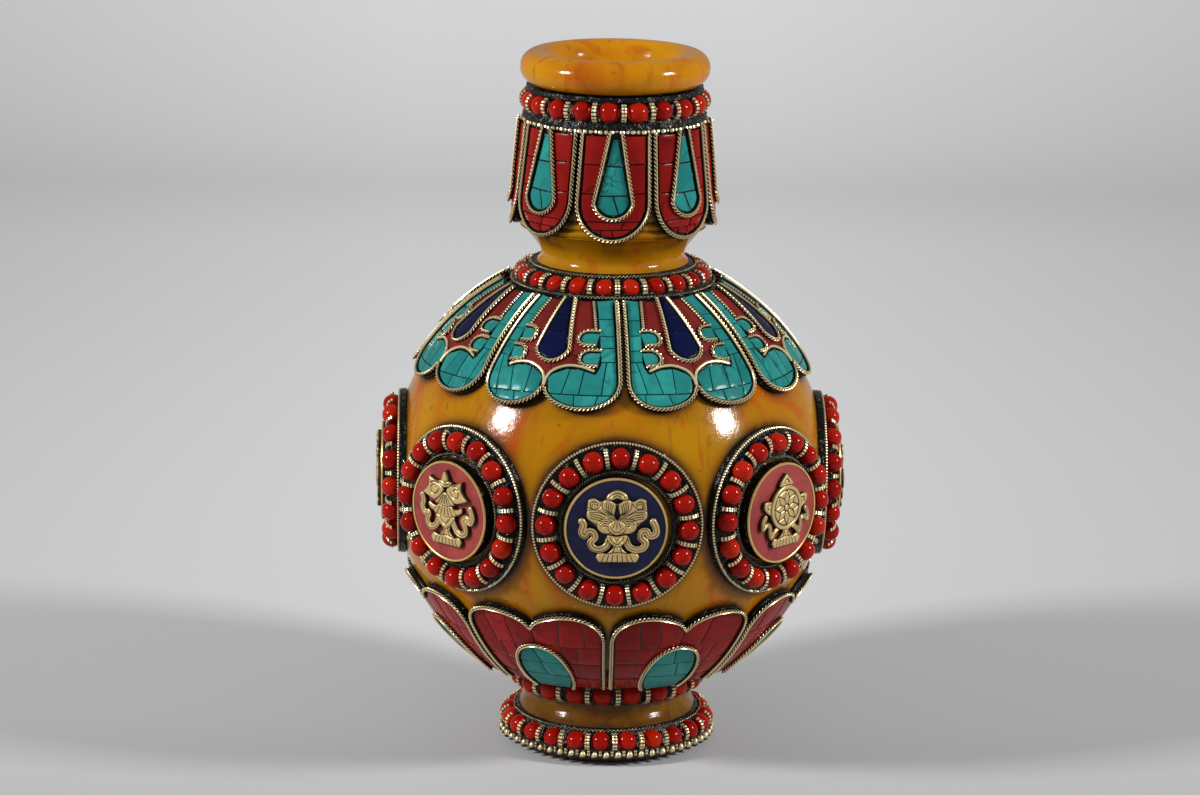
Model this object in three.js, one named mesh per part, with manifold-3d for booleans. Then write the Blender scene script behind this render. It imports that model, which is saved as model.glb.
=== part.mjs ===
// Himalayan vase: a turned amber body dressed with coral beads in black lac, inlaid stone plates
// and eight round medallions that carry the eight auspicious symbols.
// Millimetres, +Z up, origin at the centre of the base. The lotus medallion faces -Y.
import * as THREE from 'three'
import { mergeVertices } from 'three/addons/utils/BufferGeometryUtils.js'
import Module from 'manifold-3d'

const wasm = await Module()
wasm.setup()

// Clearance between pieces that touch. A plate's back is made of flats, so it stands off further
const GAP = 0.3
const BACK_GAP = 0.42

// Number of copies round the vase, and of flats round the turned pieces
const COPIES = 8
const FLATS = 28
const GLOBE_FLATS = 24
const PLATE_FLATS = 40
const PLAQUE_FLATS = 20

// Globe: how thick its floor is over the foot's spigot, and how far its flat crown and foot reach
// past the bead bands that meet them
const GLOBE_RADIUS = 63.5
const GLOBE_WALL = 6.5
const GLOBE_FLOOR_THICKNESS = 2.5
const GLOBE_CROWN_MARGIN = 2
const GLOBE_FOOT_MARGIN = 1.7

// Base plate and foot
const PLATE_RADIUS = 27
const PLATE_THICKNESS = 2.8
const PLATE_BEVEL = 0.7
const FOOT_RADIUS = 25
const FOOT_COVE_HEIGHT = 6.6
const FOOT_COVE_RISE = 4.5
const FOOT_SPIGOT_RADIUS = 15
const SPIGOT_LENGTH = 4

// Neck: the waist zone runs from the collar up to the belly, where the neck is widest
const NECK_WAIST_RADIUS = 20.6
const NECK_WAIST_ZONE = 17.3
const NECK_WAIST_STEP = 2
const NECK_FLARE_RADIUS = 21.6
const NECK_FLARE_START = 5
const NECK_FLARE_LENGTH = 7.6
const NECK_BELLY_RADIUS = 27.4
const NECK_BELLY_ROUND = 1.2
const NECK_TOP_RADIUS = 24.6
const NECK_BORE_RADIUS = 13
const NECK_SPIGOT_WALL = 3.6

// Rolled lip with a funnel down to the bore
const LIP_RADIUS = 27.2
const LIP_ROLL_RADIUS = 4.8
const FUNNEL_START = 120
const FUNNEL_WIDTH = 1.5
const FUNNEL_DEPTH = 1.2

// Coral beads
const BEAD_RADIUS = 2.9
const BEAD_SIDES = 5
const BEAD_RINGS = 3

// Bands of beads in black lac. seat is the turned radius that a band slides over, standOff how far
// the beads' innermost points lie outside its bore, edge the lac left above and below the beads, and
// face how far the lac reaches past the beads' centres
const BASE_BAND = bandSizes({ beads: 24, seat: 25.3, standOff: -0.3, edge: 1.4, face: 1.6 })
const FOOT_BAND = bandSizes({ beads: 20, seat: 23, standOff: -0.5, edge: 0.4, face: 0.9 })
const COLLAR_BAND = bandSizes({ beads: 22, seat: 21.7, standOff: 0.5, edge: 0.2, face: 1.8 })
const NECK_BAND = bandSizes({ beads: 20, seat: 21.4, standOff: -0.5, edge: 2.4, face: 1 })
const GRANULE_WIRE_RADIUS = 0.8
const GRANULE_WIRE_SIDES = 5
const GLOBE_TOP_SEAT_RADIUS = COLLAR_BAND.outer + GLOBE_CROWN_MARGIN
const GLOBE_FOOT_SEAT_RADIUS = FOOT_BAND.outer + GLOBE_FOOT_MARGIN

// Inlaid plates: how far they stand off the globe, half their width in degrees of azimuth, how far
// their straight edges lie from the globe's flats, and their shoulders and tips in degrees of latitude
const PLATE_LIFT = 2.2
const PETAL_FOOT_LIFT = 3.4
const PLATE_HALF_ANGLE = 21.6
const LAPPET_TURN = 26.5
const PETAL_TURN = 22.5
const LAPPET = { edge: latitudeAt(GLOBE_TOP_SEAT_RADIUS + 0.9), shoulder: 38.5, tip: 31 }
const PETAL = { edge: -latitudeAt(GLOBE_FOOT_SEAT_RADIUS + 7.8), shoulder: -29.5, tip: -22.4 }
const PANEL_HALF_ANGLE = 20.5
const PANEL_HEIGHT = 31
const PANEL_ROUND_HEIGHT = 11.2
const PANEL_THICKNESS = 1.8
const PANEL_OVERHANG = 6

// Medallions fill the belt round the globe: neighbours' rims stand a gap apart
const MEDALLION_RADIUS = GLOBE_RADIUS * Math.sin(Math.PI / COPIES) - GAP
const MEDALLION_TURN = 2
const MEDALLION_BEADS = 16
const MEDALLION_RIM_WIDTH = 1.4
const DISH_FLOOR_THICKNESS = 0.6
const DISH_RIM_THICKNESS = 1.9
const BEAD_RING_MARGIN = 2.2
const MEDALLION_BEAD_RING = MEDALLION_RADIUS - MEDALLION_RIM_WIDTH - BEAD_RADIUS
const PLAQUE_RADIUS = MEDALLION_BEAD_RING - BEAD_RADIUS - BEAD_RING_MARGIN
const PLAQUE_HEIGHT = 2.7
const PLAQUE_FACE = GLOBE_RADIUS + PLAQUE_HEIGHT
const EMBLEM_THICKNESS = 1.4
const EMBLEM_WIDTH = 22.6

// Heights that follow from the sizes above
const FOOT_FLOOR = PLATE_THICKNESS + GAP
const FOOT_TOP = FOOT_FLOOR + BASE_BAND.height + FOOT_COVE_HEIGHT + GAP + FOOT_BAND.height
const GLOBE_FLOOR = FOOT_TOP + GAP
const GLOBE_CENTRE = GLOBE_FLOOR + depthAt(GLOBE_FOOT_SEAT_RADIUS)
const GLOBE_CROWN = GLOBE_CENTRE + depthAt(GLOBE_TOP_SEAT_RADIUS)
const NECK_FOOT = GLOBE_CROWN + GAP
const NECK_COLLAR_TOP = NECK_FOOT + COLLAR_BAND.height + GAP
const NECK_BELLY = NECK_COLLAR_TOP + NECK_WAIST_ZONE
const NECK_SHOULDER = NECK_BELLY + PANEL_HEIGHT - PANEL_OVERHANG
const NECK_TOP = NECK_SHOULDER + GAP + NECK_BAND.height
const NECK_SPIGOT_RADIUS = NECK_BORE_RADIUS + NECK_SPIGOT_WALL
const LIP_FLOOR = NECK_TOP + GAP
const LIP_CENTRE_RADIUS = LIP_RADIUS - LIP_ROLL_RADIUS

const amber = new THREE.MeshStandardMaterial({ color: 0xd08a12, roughness: 0.22, metalness: 0 })
const lac = new THREE.MeshStandardMaterial({ color: 0x1a1815, roughness: 0.45, metalness: 0 })
const turquoise = new THREE.MeshStandardMaterial({ color: 0x2f9a8c, roughness: 0.25, metalness: 0 })
const coral = new THREE.MeshStandardMaterial({ color: 0x8e1710, roughness: 0.25, metalness: 0 })
const brass = new THREE.MeshStandardMaterial({ color: 0xb3965a, roughness: 0.35, metalness: 1 })
const enamel = new THREE.MeshStandardMaterial({ color: 0x1a1c4e, roughness: 0.3, metalness: 0 })
const lacquer = new THREE.MeshStandardMaterial({ color: 0x3a120c, roughness: 0.5, metalness: 0 })

const vase = new THREE.Group()

// Distance from the globe's centre plane to its surface, at a distance from its axis
function depthAt(radius) {
  return Math.sqrt(GLOBE_RADIUS ** 2 - radius ** 2)
}

function latitudeAt(radius) {
  return THREE.MathUtils.radToDeg(Math.acos(radius / GLOBE_RADIUS))
}

// A band has as many flats as beads, so its bore is measured to the middle of a flat
function bandSizes({ beads, seat, standOff, edge, face }) {
  const inner = (seat + GAP) / Math.cos(Math.PI / beads)
  const ringRadius = inner + BEAD_RADIUS + standOff
  return { beads, seat, inner, ringRadius, outer: ringRadius + face, height: 2 * BEAD_RADIUS + edge }
}

function addMesh(parent, name, geometry, material) {
  const mesh = new THREE.Mesh(geometry, material)
  mesh.name = name
  parent.add(mesh)
}

// Closed solids for joining and cutting
function solidOf(geometry) {
  const bare = geometry.clone()
  bare.deleteAttribute('normal')
  bare.deleteAttribute('uv')
  const merged = mergeVertices(bare, 1e-4)
  const corners = merged.index.array
  const kept = []
  for (let i = 0; i < corners.length; i += 3) {
    const [a, b, c] = corners.slice(i, i + 3)
    if (a !== b && b !== c && c !== a) kept.push(a, b, c)
  }
  return new wasm.Manifold(new wasm.Mesh({
    numProp: 3,
    vertProperties: new Float32Array(merged.attributes.position.array),
    triVerts: new Uint32Array(kept),
  }))
}

function geometryOf(solid) {
  const mesh = solid.getMesh()
  const geometry = new THREE.BufferGeometry()
  geometry.setAttribute('position', new THREE.BufferAttribute(mesh.vertProperties, 3))
  geometry.setIndex(new THREE.BufferAttribute(mesh.triVerts, 1))
  return geometry
}

const joined = (geometries) =>
  geometryOf(geometries.map(solidOf).reduce((whole, next) => whole.add(next)))

// A turned piece about +Z from [radius, height] points that run anticlockwise in section
function turned(points, flats = FLATS) {
  const profile = points.map(([radius, height]) => new THREE.Vector2(radius, height))
  return new THREE.LatheGeometry(profile, flats).rotateX(Math.PI / 2)
}

const closedLoop = (points) => [...points, points[0]]

// Points of an arc in section, angles in degrees from the outward radius
function arc(radius, height, size, from, to, steps) {
  const points = []
  for (let i = 0; i <= steps; i++) {
    const angle = THREE.MathUtils.degToRad(from + (to - from) * i / steps)
    points.push([radius + size * Math.cos(angle), height + size * Math.sin(angle)])
  }
  return points
}

// Each bead stands over the middle of one flat of its ring
function beadCircle(count, radius, height) {
  const beads = []
  for (let i = 0; i < count; i++) {
    const angle = (i + 0.5) * 2 * Math.PI / count
    beads.push(new THREE.SphereGeometry(BEAD_RADIUS, BEAD_SIDES, BEAD_RINGS)
      .rotateX(Math.PI / 2)
      .rotateZ(angle)
      .translate(radius * Math.cos(angle), radius * Math.sin(angle), height))
  }
  return beads
}

function basePlate() {
  return turned([
    [0, 0],
    [PLATE_RADIUS - PLATE_BEVEL, 0],
    [PLATE_RADIUS, PLATE_BEVEL],
    [PLATE_RADIUS, PLATE_THICKNESS],
    [0, PLATE_THICKNESS],
  ])
}

// The foot's cove shows between the two bands that slide over its ends
function foot() {
  const bandTop = FOOT_FLOOR + BASE_BAND.height
  const seat = FOOT_TOP - FOOT_BAND.height - GAP
  return turned([
    [0, FOOT_FLOOR],
    [BASE_BAND.seat, FOOT_FLOOR],
    [BASE_BAND.seat, bandTop],
    [FOOT_RADIUS, bandTop + FOOT_COVE_RISE],
    [FOOT_RADIUS, seat],
    [FOOT_BAND.seat, seat],
    [FOOT_BAND.seat, FOOT_TOP],
    [FOOT_SPIGOT_RADIUS, FOOT_TOP],
    [FOOT_SPIGOT_RADIUS, FOOT_TOP + SPIGOT_LENGTH],
    [0, FOOT_TOP + SPIGOT_LENGTH],
  ])
}

// Hollow globe: a blind socket below for the foot's spigot, and a mouth above for the neck's
function globe() {
  const outerSteps = 8
  const innerSteps = 5
  const hollow = GLOBE_RADIUS - GLOBE_WALL
  const mouth = NECK_SPIGOT_RADIUS + GAP
  const mouthAngle = THREE.MathUtils.radToDeg(Math.acos(mouth / hollow))
  const socket = FOOT_SPIGOT_RADIUS + GAP
  const socketTop = GLOBE_FLOOR + SPIGOT_LENGTH
  const floor = socketTop + GLOBE_FLOOR_THICKNESS
  const floorAngle = -THREE.MathUtils.radToDeg(Math.asin((GLOBE_CENTRE - floor) / hollow))
  const foot = -latitudeAt(GLOBE_FOOT_SEAT_RADIUS)
  const crown = latitudeAt(GLOBE_TOP_SEAT_RADIUS)
  return turned([
    [0, socketTop],
    [socket, socketTop],
    [socket, GLOBE_FLOOR],
    ...arc(0, GLOBE_CENTRE, GLOBE_RADIUS, foot, crown, outerSteps),
    [mouth, GLOBE_CROWN],
    ...arc(0, GLOBE_CENTRE, hollow, mouthAngle, floorAngle, innerSteps),
    [0, floor],
  ], GLOBE_FLATS)
}

function neck() {
  const waist = NECK_COLLAR_TOP + NECK_WAIST_STEP
  const flare = NECK_COLLAR_TOP + NECK_FLARE_START
  return turned(closedLoop([
    [NECK_BORE_RADIUS, NECK_FOOT - SPIGOT_LENGTH],
    [NECK_SPIGOT_RADIUS, NECK_FOOT - SPIGOT_LENGTH],
    [NECK_SPIGOT_RADIUS, NECK_FOOT],
    [COLLAR_BAND.seat, NECK_FOOT],
    [COLLAR_BAND.seat, NECK_COLLAR_TOP],
    [NECK_WAIST_RADIUS, waist],
    [NECK_FLARE_RADIUS, flare],
    [NECK_BELLY_RADIUS - NECK_BELLY_ROUND, flare + NECK_FLARE_LENGTH - NECK_BELLY_ROUND],
    [NECK_BELLY_RADIUS, flare + NECK_FLARE_LENGTH],
    [NECK_BELLY_RADIUS, NECK_BELLY],
    [NECK_TOP_RADIUS, NECK_SHOULDER],
    [NECK_BAND.seat, NECK_SHOULDER],
    [NECK_BAND.seat, NECK_TOP],
    [NECK_SPIGOT_RADIUS, NECK_TOP],
    [NECK_SPIGOT_RADIUS, NECK_TOP + SPIGOT_LENGTH],
    [NECK_BORE_RADIUS, NECK_TOP + SPIGOT_LENGTH],
  ]))
}

function lip() {
  const rollSteps = 7
  const centre = LIP_FLOOR + LIP_ROLL_RADIUS
  const socket = NECK_SPIGOT_RADIUS + GAP
  return turned(closedLoop([
    [NECK_BORE_RADIUS, LIP_FLOOR + SPIGOT_LENGTH],
    [socket, LIP_FLOOR + SPIGOT_LENGTH],
    [socket, LIP_FLOOR],
    ...arc(LIP_CENTRE_RADIUS, centre, LIP_ROLL_RADIUS, -90, FUNNEL_START, rollSteps),
    [NECK_BORE_RADIUS + FUNNEL_WIDTH, centre + FUNNEL_DEPTH],
    [NECK_BORE_RADIUS, centre],
  ]))
}

// A band of black lac with a circle of coral beads set in its outer face
function beadBand(band, floor) {
  const top = floor + band.height
  const bevel = band.height / 6
  const ring = turned(closedLoop([
    [band.inner, floor],
    [band.outer, floor],
    [band.outer, top - bevel],
    [band.outer - bevel, top],
    [band.inner, top],
  ]), band.beads)
  return joined([ring, ...beadCircle(band.beads, band.ringRadius, floor + band.height / 2)])
}

// A plate outline carried outward from inner to outer depth by the given mapping
function radialPrism(outline, place) {
  const ring = outline.map(([across, up]) => new THREE.Vector2(across, up))
  const count = ring.length
  const corners = []
  for (const depth of [0, 1]) {
    for (const point of ring) corners.push(...place(point.x, point.y, depth))
  }
  const faces = []
  for (const [a, b, c] of THREE.ShapeUtils.triangulateShape(ring, [])) {
    faces.push(a + count, b + count, c + count, c, b, a)
  }
  for (let i = 0; i < count; i++) {
    const next = (i + 1) % count
    faces.push(i, next, next + count, i, next + count, i + count)
  }
  const geometry = new THREE.BufferGeometry()
  geometry.setAttribute('position', new THREE.Float32BufferAttribute(corners, 3))
  geometry.setIndex(faces)
  return geometry
}

const plateFrom = (shell, prism) => geometryOf(solidOf(shell).intersect(solidOf(prism)))

// A direction on the globe: azimuth from -Y towards +X, latitude from the equator up
function onGlobe(azimuth, latitude, radius) {
  const a = THREE.MathUtils.degToRad(azimuth)
  const b = THREE.MathUtils.degToRad(latitude)
  const level = radius * Math.cos(b)
  return [level * Math.sin(a), -level * Math.cos(a), GLOBE_CENTRE + radius * Math.sin(b)]
}

// The scalloped border: straight sides from the edge, then two round lobes side by side.
// The sides end and the lobes start part of the way from the shoulder to the tip
function scallops({ edge, shoulder, tip }) {
  const outline = [[PLATE_HALF_ANGLE, edge], [0, edge], [-PLATE_HALF_ANGLE, edge]]
  const lobe = PLATE_HALF_ANGLE / 2
  const steps = 6
  const start = 0.3
  for (const centre of [-lobe, lobe]) {
    for (let i = 0; i <= steps; i++) {
      if (centre > 0 && i === 0) continue
      const angle = Math.PI * (1 - i / steps)
      outline.push([
        centre + lobe * Math.cos(angle),
        shoulder + (tip - shoulder) * (start + (1 - start) * Math.sin(angle)),
      ])
    }
  }
  return edge > tip ? outline : outline.reverse()
}

function globePlate(border, liftAtTip, liftAtEdge) {
  const inner = GLOBE_RADIUS + BACK_GAP
  const points = []
  const steps = 4
  for (let i = 0; i <= steps; i++) {
    const latitude = border.edge + (border.tip - border.edge) * i / steps
    const lift = liftAtEdge + (liftAtTip - liftAtEdge) * i / steps
    points.push([latitude, inner + lift])
  }
  for (let i = steps; i >= 0; i--) points.push([points[i][0], inner])
  const loop = points.map(([latitude, radius]) => {
    const b = THREE.MathUtils.degToRad(latitude)
    return [radius * Math.cos(b), GLOBE_CENTRE + radius * Math.sin(b)]
  })
  const ordered = border.edge < border.tip ? loop : loop.reverse()
  const shell = turned(closedLoop(ordered), PLATE_FLATS)
  const place = (azimuth, latitude, depth) =>
    onGlobe(azimuth, latitude, GLOBE_RADIUS * (depth ? 1.4 : 0.7))
  return plateFrom(shell, radialPrism(scallops(border), place))
}

function neckPanel() {
  const top = NECK_SHOULDER - GAP
  const bottom = NECK_BELLY - PANEL_OVERHANG
  const straight = bottom + PANEL_ROUND_HEIGHT
  const innerTop = NECK_TOP_RADIUS + BACK_GAP
  const innerBelly = NECK_BELLY_RADIUS + BACK_GAP
  const shell = turned(closedLoop([
    [innerBelly, bottom - 1],
    [innerBelly + PANEL_THICKNESS, bottom - 1],
    [innerBelly + PANEL_THICKNESS, NECK_BELLY],
    [innerTop + PANEL_THICKNESS, top],
    [innerTop, top],
    [innerBelly, NECK_BELLY],
  ]), PLATE_FLATS)
  const outline = [[PANEL_HALF_ANGLE, top + 1], [-PANEL_HALF_ANGLE, top + 1]]
  const steps = 8
  for (let i = 0; i <= steps; i++) {
    const angle = Math.PI * (1 + i / steps)
    outline.push([
      PANEL_HALF_ANGLE * Math.cos(angle),
      straight + PANEL_ROUND_HEIGHT * Math.sin(angle),
    ])
  }
  const place = (azimuth, height, depth) => {
    const a = THREE.MathUtils.degToRad(azimuth)
    const radius = NECK_BELLY_RADIUS * (depth ? 1.4 : 0.6)
    return [radius * Math.sin(a), -radius * Math.cos(a), height]
  }
  return plateFrom(shell, radialPrism(outline, place))
}

// Medallion pieces lie flat in their own frame: +Z points out of the globe, +Y up
const dishBack = (radius) => depthAt(radius) + BACK_GAP

function medallionDish() {
  const inner = (PLAQUE_RADIUS + GAP) / Math.cos(Math.PI / MEDALLION_BEADS)
  const beadHeight = dishBack(MEDALLION_BEAD_RING) + BEAD_RADIUS
  const ring = turned(closedLoop([
    [inner, dishBack(inner)],
    [MEDALLION_RADIUS, dishBack(MEDALLION_RADIUS)],
    [MEDALLION_RADIUS, dishBack(MEDALLION_RADIUS) + DISH_RIM_THICKNESS],
    [inner, dishBack(inner) + DISH_FLOOR_THICKNESS],
  ]), MEDALLION_BEADS)
  return joined([ring, ...beadCircle(MEDALLION_BEADS, MEDALLION_BEAD_RING, beadHeight)])
}

function medallionPlaque() {
  return turned([
    [0, dishBack(0)],
    [PLAQUE_RADIUS / 2, dishBack(PLAQUE_RADIUS / 2)],
    [PLAQUE_RADIUS, dishBack(PLAQUE_RADIUS)],
    [PLAQUE_RADIUS, PLAQUE_FACE],
    [0, PLAQUE_FACE],
  ], PLAQUE_FLATS)
}

// Outlines of the eight symbols, in millimetres about the centre of the plaque
function ellipse(x, y, across, up, turn = 0, sides = 12) {
  const points = []
  for (let i = 0; i < sides; i++) {
    const angle = 2 * Math.PI * i / sides
    const u = across * Math.cos(angle)
    const v = up * Math.sin(angle)
    points.push([x + u * Math.cos(turn) - v * Math.sin(turn), y + u * Math.sin(turn) + v * Math.cos(turn)])
  }
  return points
}

const mirrored = (half) => [...half, ...half.map(([x, y]) => [-x, y]).reverse()]

const SYMBOLS = {
  lotus: [
    mirrored([[3.4, -7.4], [5.4, -2], [8.8, 2.6], [8.4, 7.4], [4.4, 7.6], [2, 10.4]]),
  ],
  wheel: [ellipse(0, 1.8, 6.4, 6.4, 0, 16), mirrored([[1.4, -7.4], [1.4, -4]]), ellipse(0, 9, 1.8, 1.8, 0, 8)],
  knot: [mirrored([[1, -7.4], [7.4, 1.6], [1, 10.4]])],
  conch: [ellipse(0, 1.6, 4.4, 8.6, -0.3, 14), mirrored([[2.4, -7.4], [2.4, -4]])],
  fish: [
    ellipse(-3.4, 1.4, 2.9, 8.8, 0.22, 12),
    ellipse(3.4, 1.4, 2.9, 8.8, -0.22, 12),
    mirrored([[3, -7.4], [3, -4]]),
  ],
  banner: [mirrored([[3.6, -7.4], [3.6, -3], [5.4, -2], [5.4, 6], [2.6, 8.6], [1, 10.4]])],
  vase: [mirrored([[2.4, -7.4], [6.2, -1.4], [5.2, 2.8], [2.4, 4.4], [4, 7.2], [1, 10.4]])],
  parasol: [mirrored([[1.8, -7.4], [2.2, -2], [7.2, 2.2], [5.6, 6.2], [1, 10.4]])],
}

const BASE_OUTLINE = mirrored([[5.4, -10.6], [6.6, -6.8]])
const RIBBON_OUTLINE = [[2, -8], [7, -5.6], [10.2, -3.6], [11.3, 0.4], [9, 0.8], [8, -2], [5, -3.2], [2, -4]]
const DRAWN_WIDTH = 2 * Math.max(...RIBBON_OUTLINE.map(([x]) => x))
const DRAWN_PLAQUE_RADIUS = 14.6

// The drawing is scaled to the emblem's width, which shrinks with a smaller plaque
function slab(points) {
  const scale = Math.min(EMBLEM_WIDTH / DRAWN_WIDTH, PLAQUE_RADIUS / DRAWN_PLAQUE_RADIUS)
  const shape = new THREE.Shape(points.map(([x, y]) => new THREE.Vector2(x * scale, y * scale)))
  return new THREE.ExtrudeGeometry(shape, { depth: EMBLEM_THICKNESS, bevelEnabled: false })
    .translate(0, 0, PLAQUE_FACE + GAP)
}

function emblem(outlines) {
  const leftRibbon = RIBBON_OUTLINE.map(([x, y]) => [-x, y])
  return joined([BASE_OUTLINE, RIBBON_OUTLINE, leftRibbon, ...outlines].map(slab))
}

// Granulated wire that closes the foot of the base band
function granuleWire() {
  const radius = BASE_BAND.outer + GAP + GRANULE_WIRE_RADIUS
  return new THREE.TorusGeometry(radius, GRANULE_WIRE_RADIUS, GRANULE_WIRE_SIDES, BASE_BAND.beads)
    .translate(0, 0, FOOT_FLOOR + GRANULE_WIRE_RADIUS)
}

function addAround(turn, place) {
  for (let i = 0; i < COPIES; i++) {
    const group = new THREE.Group()
    group.rotation.z = THREE.MathUtils.degToRad(turn + i * 360 / COPIES)
    vase.add(group)
    place(group, i + 1)
  }
}

addMesh(vase, 'base_plate', basePlate(), lacquer)
addMesh(vase, 'amber_foot', foot(), amber)
addMesh(vase, 'amber_globe', globe(), amber)
addMesh(vase, 'amber_neck', neck(), amber)
addMesh(vase, 'amber_lip', lip(), amber)

addMesh(vase, 'base_bead_band', beadBand(BASE_BAND, FOOT_FLOOR), lac)
addMesh(vase, 'foot_bead_band', beadBand(FOOT_BAND, FOOT_TOP - FOOT_BAND.height), lac)
addMesh(vase, 'collar_bead_band', beadBand(COLLAR_BAND, NECK_FOOT), lac)
addMesh(vase, 'neck_bead_band', beadBand(NECK_BAND, NECK_TOP - NECK_BAND.height), lac)
addMesh(vase, 'base_granule_wire', granuleWire(), brass)

const lappet = globePlate(LAPPET, PLATE_LIFT, PLATE_LIFT)
const petal = globePlate(PETAL, PLATE_LIFT, PETAL_FOOT_LIFT)
const panel = neckPanel()
addAround(0, (group, number) => addMesh(group, `neck_panel_${number}`, panel, coral))
addAround(LAPPET_TURN, (group, number) => addMesh(group, `shoulder_lappet_${number}`, lappet, turquoise))
addAround(PETAL_TURN, (group, number) => addMesh(group, `lower_petal_${number}`, petal, coral))

const dish = medallionDish()
const plaque = medallionPlaque()
const symbolNames = Object.keys(SYMBOLS)
addAround(MEDALLION_TURN, (group, number) => {
  const upright = new THREE.Group()
  upright.rotation.x = Math.PI / 2
  upright.position.z = GLOBE_CENTRE
  group.add(upright)
  const symbol = symbolNames[number - 1]
  addMesh(upright, `medallion_${number}_bead_dish`, dish, lac)
  addMesh(upright, `medallion_${number}_plaque`, plaque, enamel)
  addMesh(upright, `medallion_${number}_${symbol}`, emblem(SYMBOLS[symbol]), brass)
})

export default vase
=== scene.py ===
# Looks of the beaded amber vase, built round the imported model.
# Shapes are worked out in millimetres about the vase's axis and turned into metres at the end.
import math

import bmesh
import bpy
import numpy as np
from mathutils import Matrix, Vector


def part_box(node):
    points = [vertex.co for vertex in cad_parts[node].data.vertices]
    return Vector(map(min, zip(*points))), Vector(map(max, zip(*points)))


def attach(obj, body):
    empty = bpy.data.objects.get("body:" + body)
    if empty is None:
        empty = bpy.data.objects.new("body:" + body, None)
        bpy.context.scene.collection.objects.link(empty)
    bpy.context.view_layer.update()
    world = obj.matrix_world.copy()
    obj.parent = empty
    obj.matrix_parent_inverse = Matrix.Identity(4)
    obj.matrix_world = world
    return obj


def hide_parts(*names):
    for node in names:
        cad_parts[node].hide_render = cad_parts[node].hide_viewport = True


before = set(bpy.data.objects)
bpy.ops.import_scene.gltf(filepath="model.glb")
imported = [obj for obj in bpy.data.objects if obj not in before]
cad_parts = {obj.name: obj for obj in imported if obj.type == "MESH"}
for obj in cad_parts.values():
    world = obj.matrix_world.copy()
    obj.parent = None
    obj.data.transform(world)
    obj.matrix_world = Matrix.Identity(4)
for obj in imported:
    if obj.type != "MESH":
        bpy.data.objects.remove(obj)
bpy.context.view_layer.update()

MM = 0.001
COPIES = 8
random = np.random.default_rng(11)

# Camera: distance, height above level and roll of the photograph's view, and what it looks at
CAMERA_DISTANCE = 1.2
CAMERA_ELEVATION = math.radians(13.3)
CAMERA_ROLL = math.radians(0.75)
CAMERA_TARGET = Vector((-3.13 * MM, 0, 102.3 * MM))
CAMERA_LENS = 124.1
SENSOR_WIDTH = 36


def floor_of(node):
    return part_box(node)[0].z / MM


def top_of(node):
    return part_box(node)[1].z / MM


def radius_of(node):
    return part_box(node)[1].x / MM


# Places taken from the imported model
GLOBE_RADIUS = radius_of("amber_globe")
GLOBE_CENTRE = (floor_of("medallion_1_plaque") + top_of("medallion_1_plaque")) / 2
MEDALLION_RADIUS = (top_of("medallion_1_bead_dish") - floor_of("medallion_1_bead_dish")) / 2
PLAQUE_RADIUS = (top_of("medallion_1_plaque") - floor_of("medallion_1_plaque")) / 2
PANEL_TOP, PANEL_FOOT = top_of("neck_panel_1"), floor_of("neck_panel_1")
NECK_BELLY = PANEL_FOOT + 6
OBJECT_TOP = top_of("amber_lip")

# Globe and neck under their plates
GLOBE_WALL = 6.5
MOUTH_RADIUS = 16.9
BORE_RADIUS = 13
NECK_TOP_RADIUS = 24.6
NECK_BELLY_RADIUS = 27.4

# Beads: largest radius, room for the spacer between two, and each band's count, ring radius, the
# way its spacers face above level and the azimuth of its front bead
BEAD_RADIUS = 3.12
SPACER_ROOM = 1.45
BANDS = {
    "base_bead_band": (24, 28.4, 10, -2.9),
    "foot_bead_band": (20, 26.0, -8, -2.5),
    "collar_bead_band": (22, 25.6, 38, -5.3),
    "neck_bead_band": (20, 24.4, 0, -3.5),
}
MEDALLION_BEADS = 16
MEDALLION_RING = 19.7
MEDALLION_START = 21

# Inlaid plates: half width in azimuth; latitudes of the straight edge, of the outer corner of each
# lobe, of the notch between the lobes and of their tips; how high the stones stand
PLATE_HALF = 22.0
LAPPET = (61.5, 36.7, 34.0, 28.5)
PETAL = (-54.6, -33.5, -29.1, -24.4)
LAPPET_TURN = 26.5
LAPPET_SKEW = (-0.4, 0.7, -0.8, 0.5, -0.3, 0.9, -0.6, -1.9)
PETAL_TURN = 22.5
MEDALLION_TURN = 2
FRONT_SHIFT = (-0.55, 0.4, 0)
PETAL_FLARE = 1.2
SHEET_RADIUS = 65.5
STONE_TOP = 1.9
BED_TOP = 1.35

# Neck panels: the radius at which they are drawn flat, half width, lower end, height of the
# rounded end, and how much each leans
PANEL_SHEET = 27.9
PANEL_HALF = PANEL_SHEET * math.radians(21.7)
PANEL_END = PANEL_FOOT - 1
PANEL_ROUND = 11.5
PANEL_LEAN = (0.03, 0.02, -0.01, 0.01, 0.015, -0.015, 0.01, 0.025)

# Medallions: how far the plaque and the emblem's ground stand out from the globe
PLAQUE_RISE = 2.7
EMBLEM_RISE = PLAQUE_RISE + 0.95

# Mosaic: width of the joints and of the softened edge of a chip
GROUT = 0.28
CHIP_BEVEL = 0.16

# Bezels: an upright strip round each stone field; a flat twisted wire beside it shows as teeth
STRIP_HALF = 0.26
TWIST_HALF = 0.55
TWIST_PITCH = 1.16
TWIST_OUT = STRIP_HALF + 0.05
STRIP_IN = TWIST_OUT + TWIST_HALF
BEZEL_WIDTH = STRIP_IN + STRIP_HALF


# Materials

def node_material(name):
    material = bpy.data.materials.new(name)
    material.use_nodes = True
    tree = material.node_tree
    return material, tree, tree.nodes["Principled BSDF"]


def link(tree, source, target):
    tree.links.new(source, target)


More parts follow.
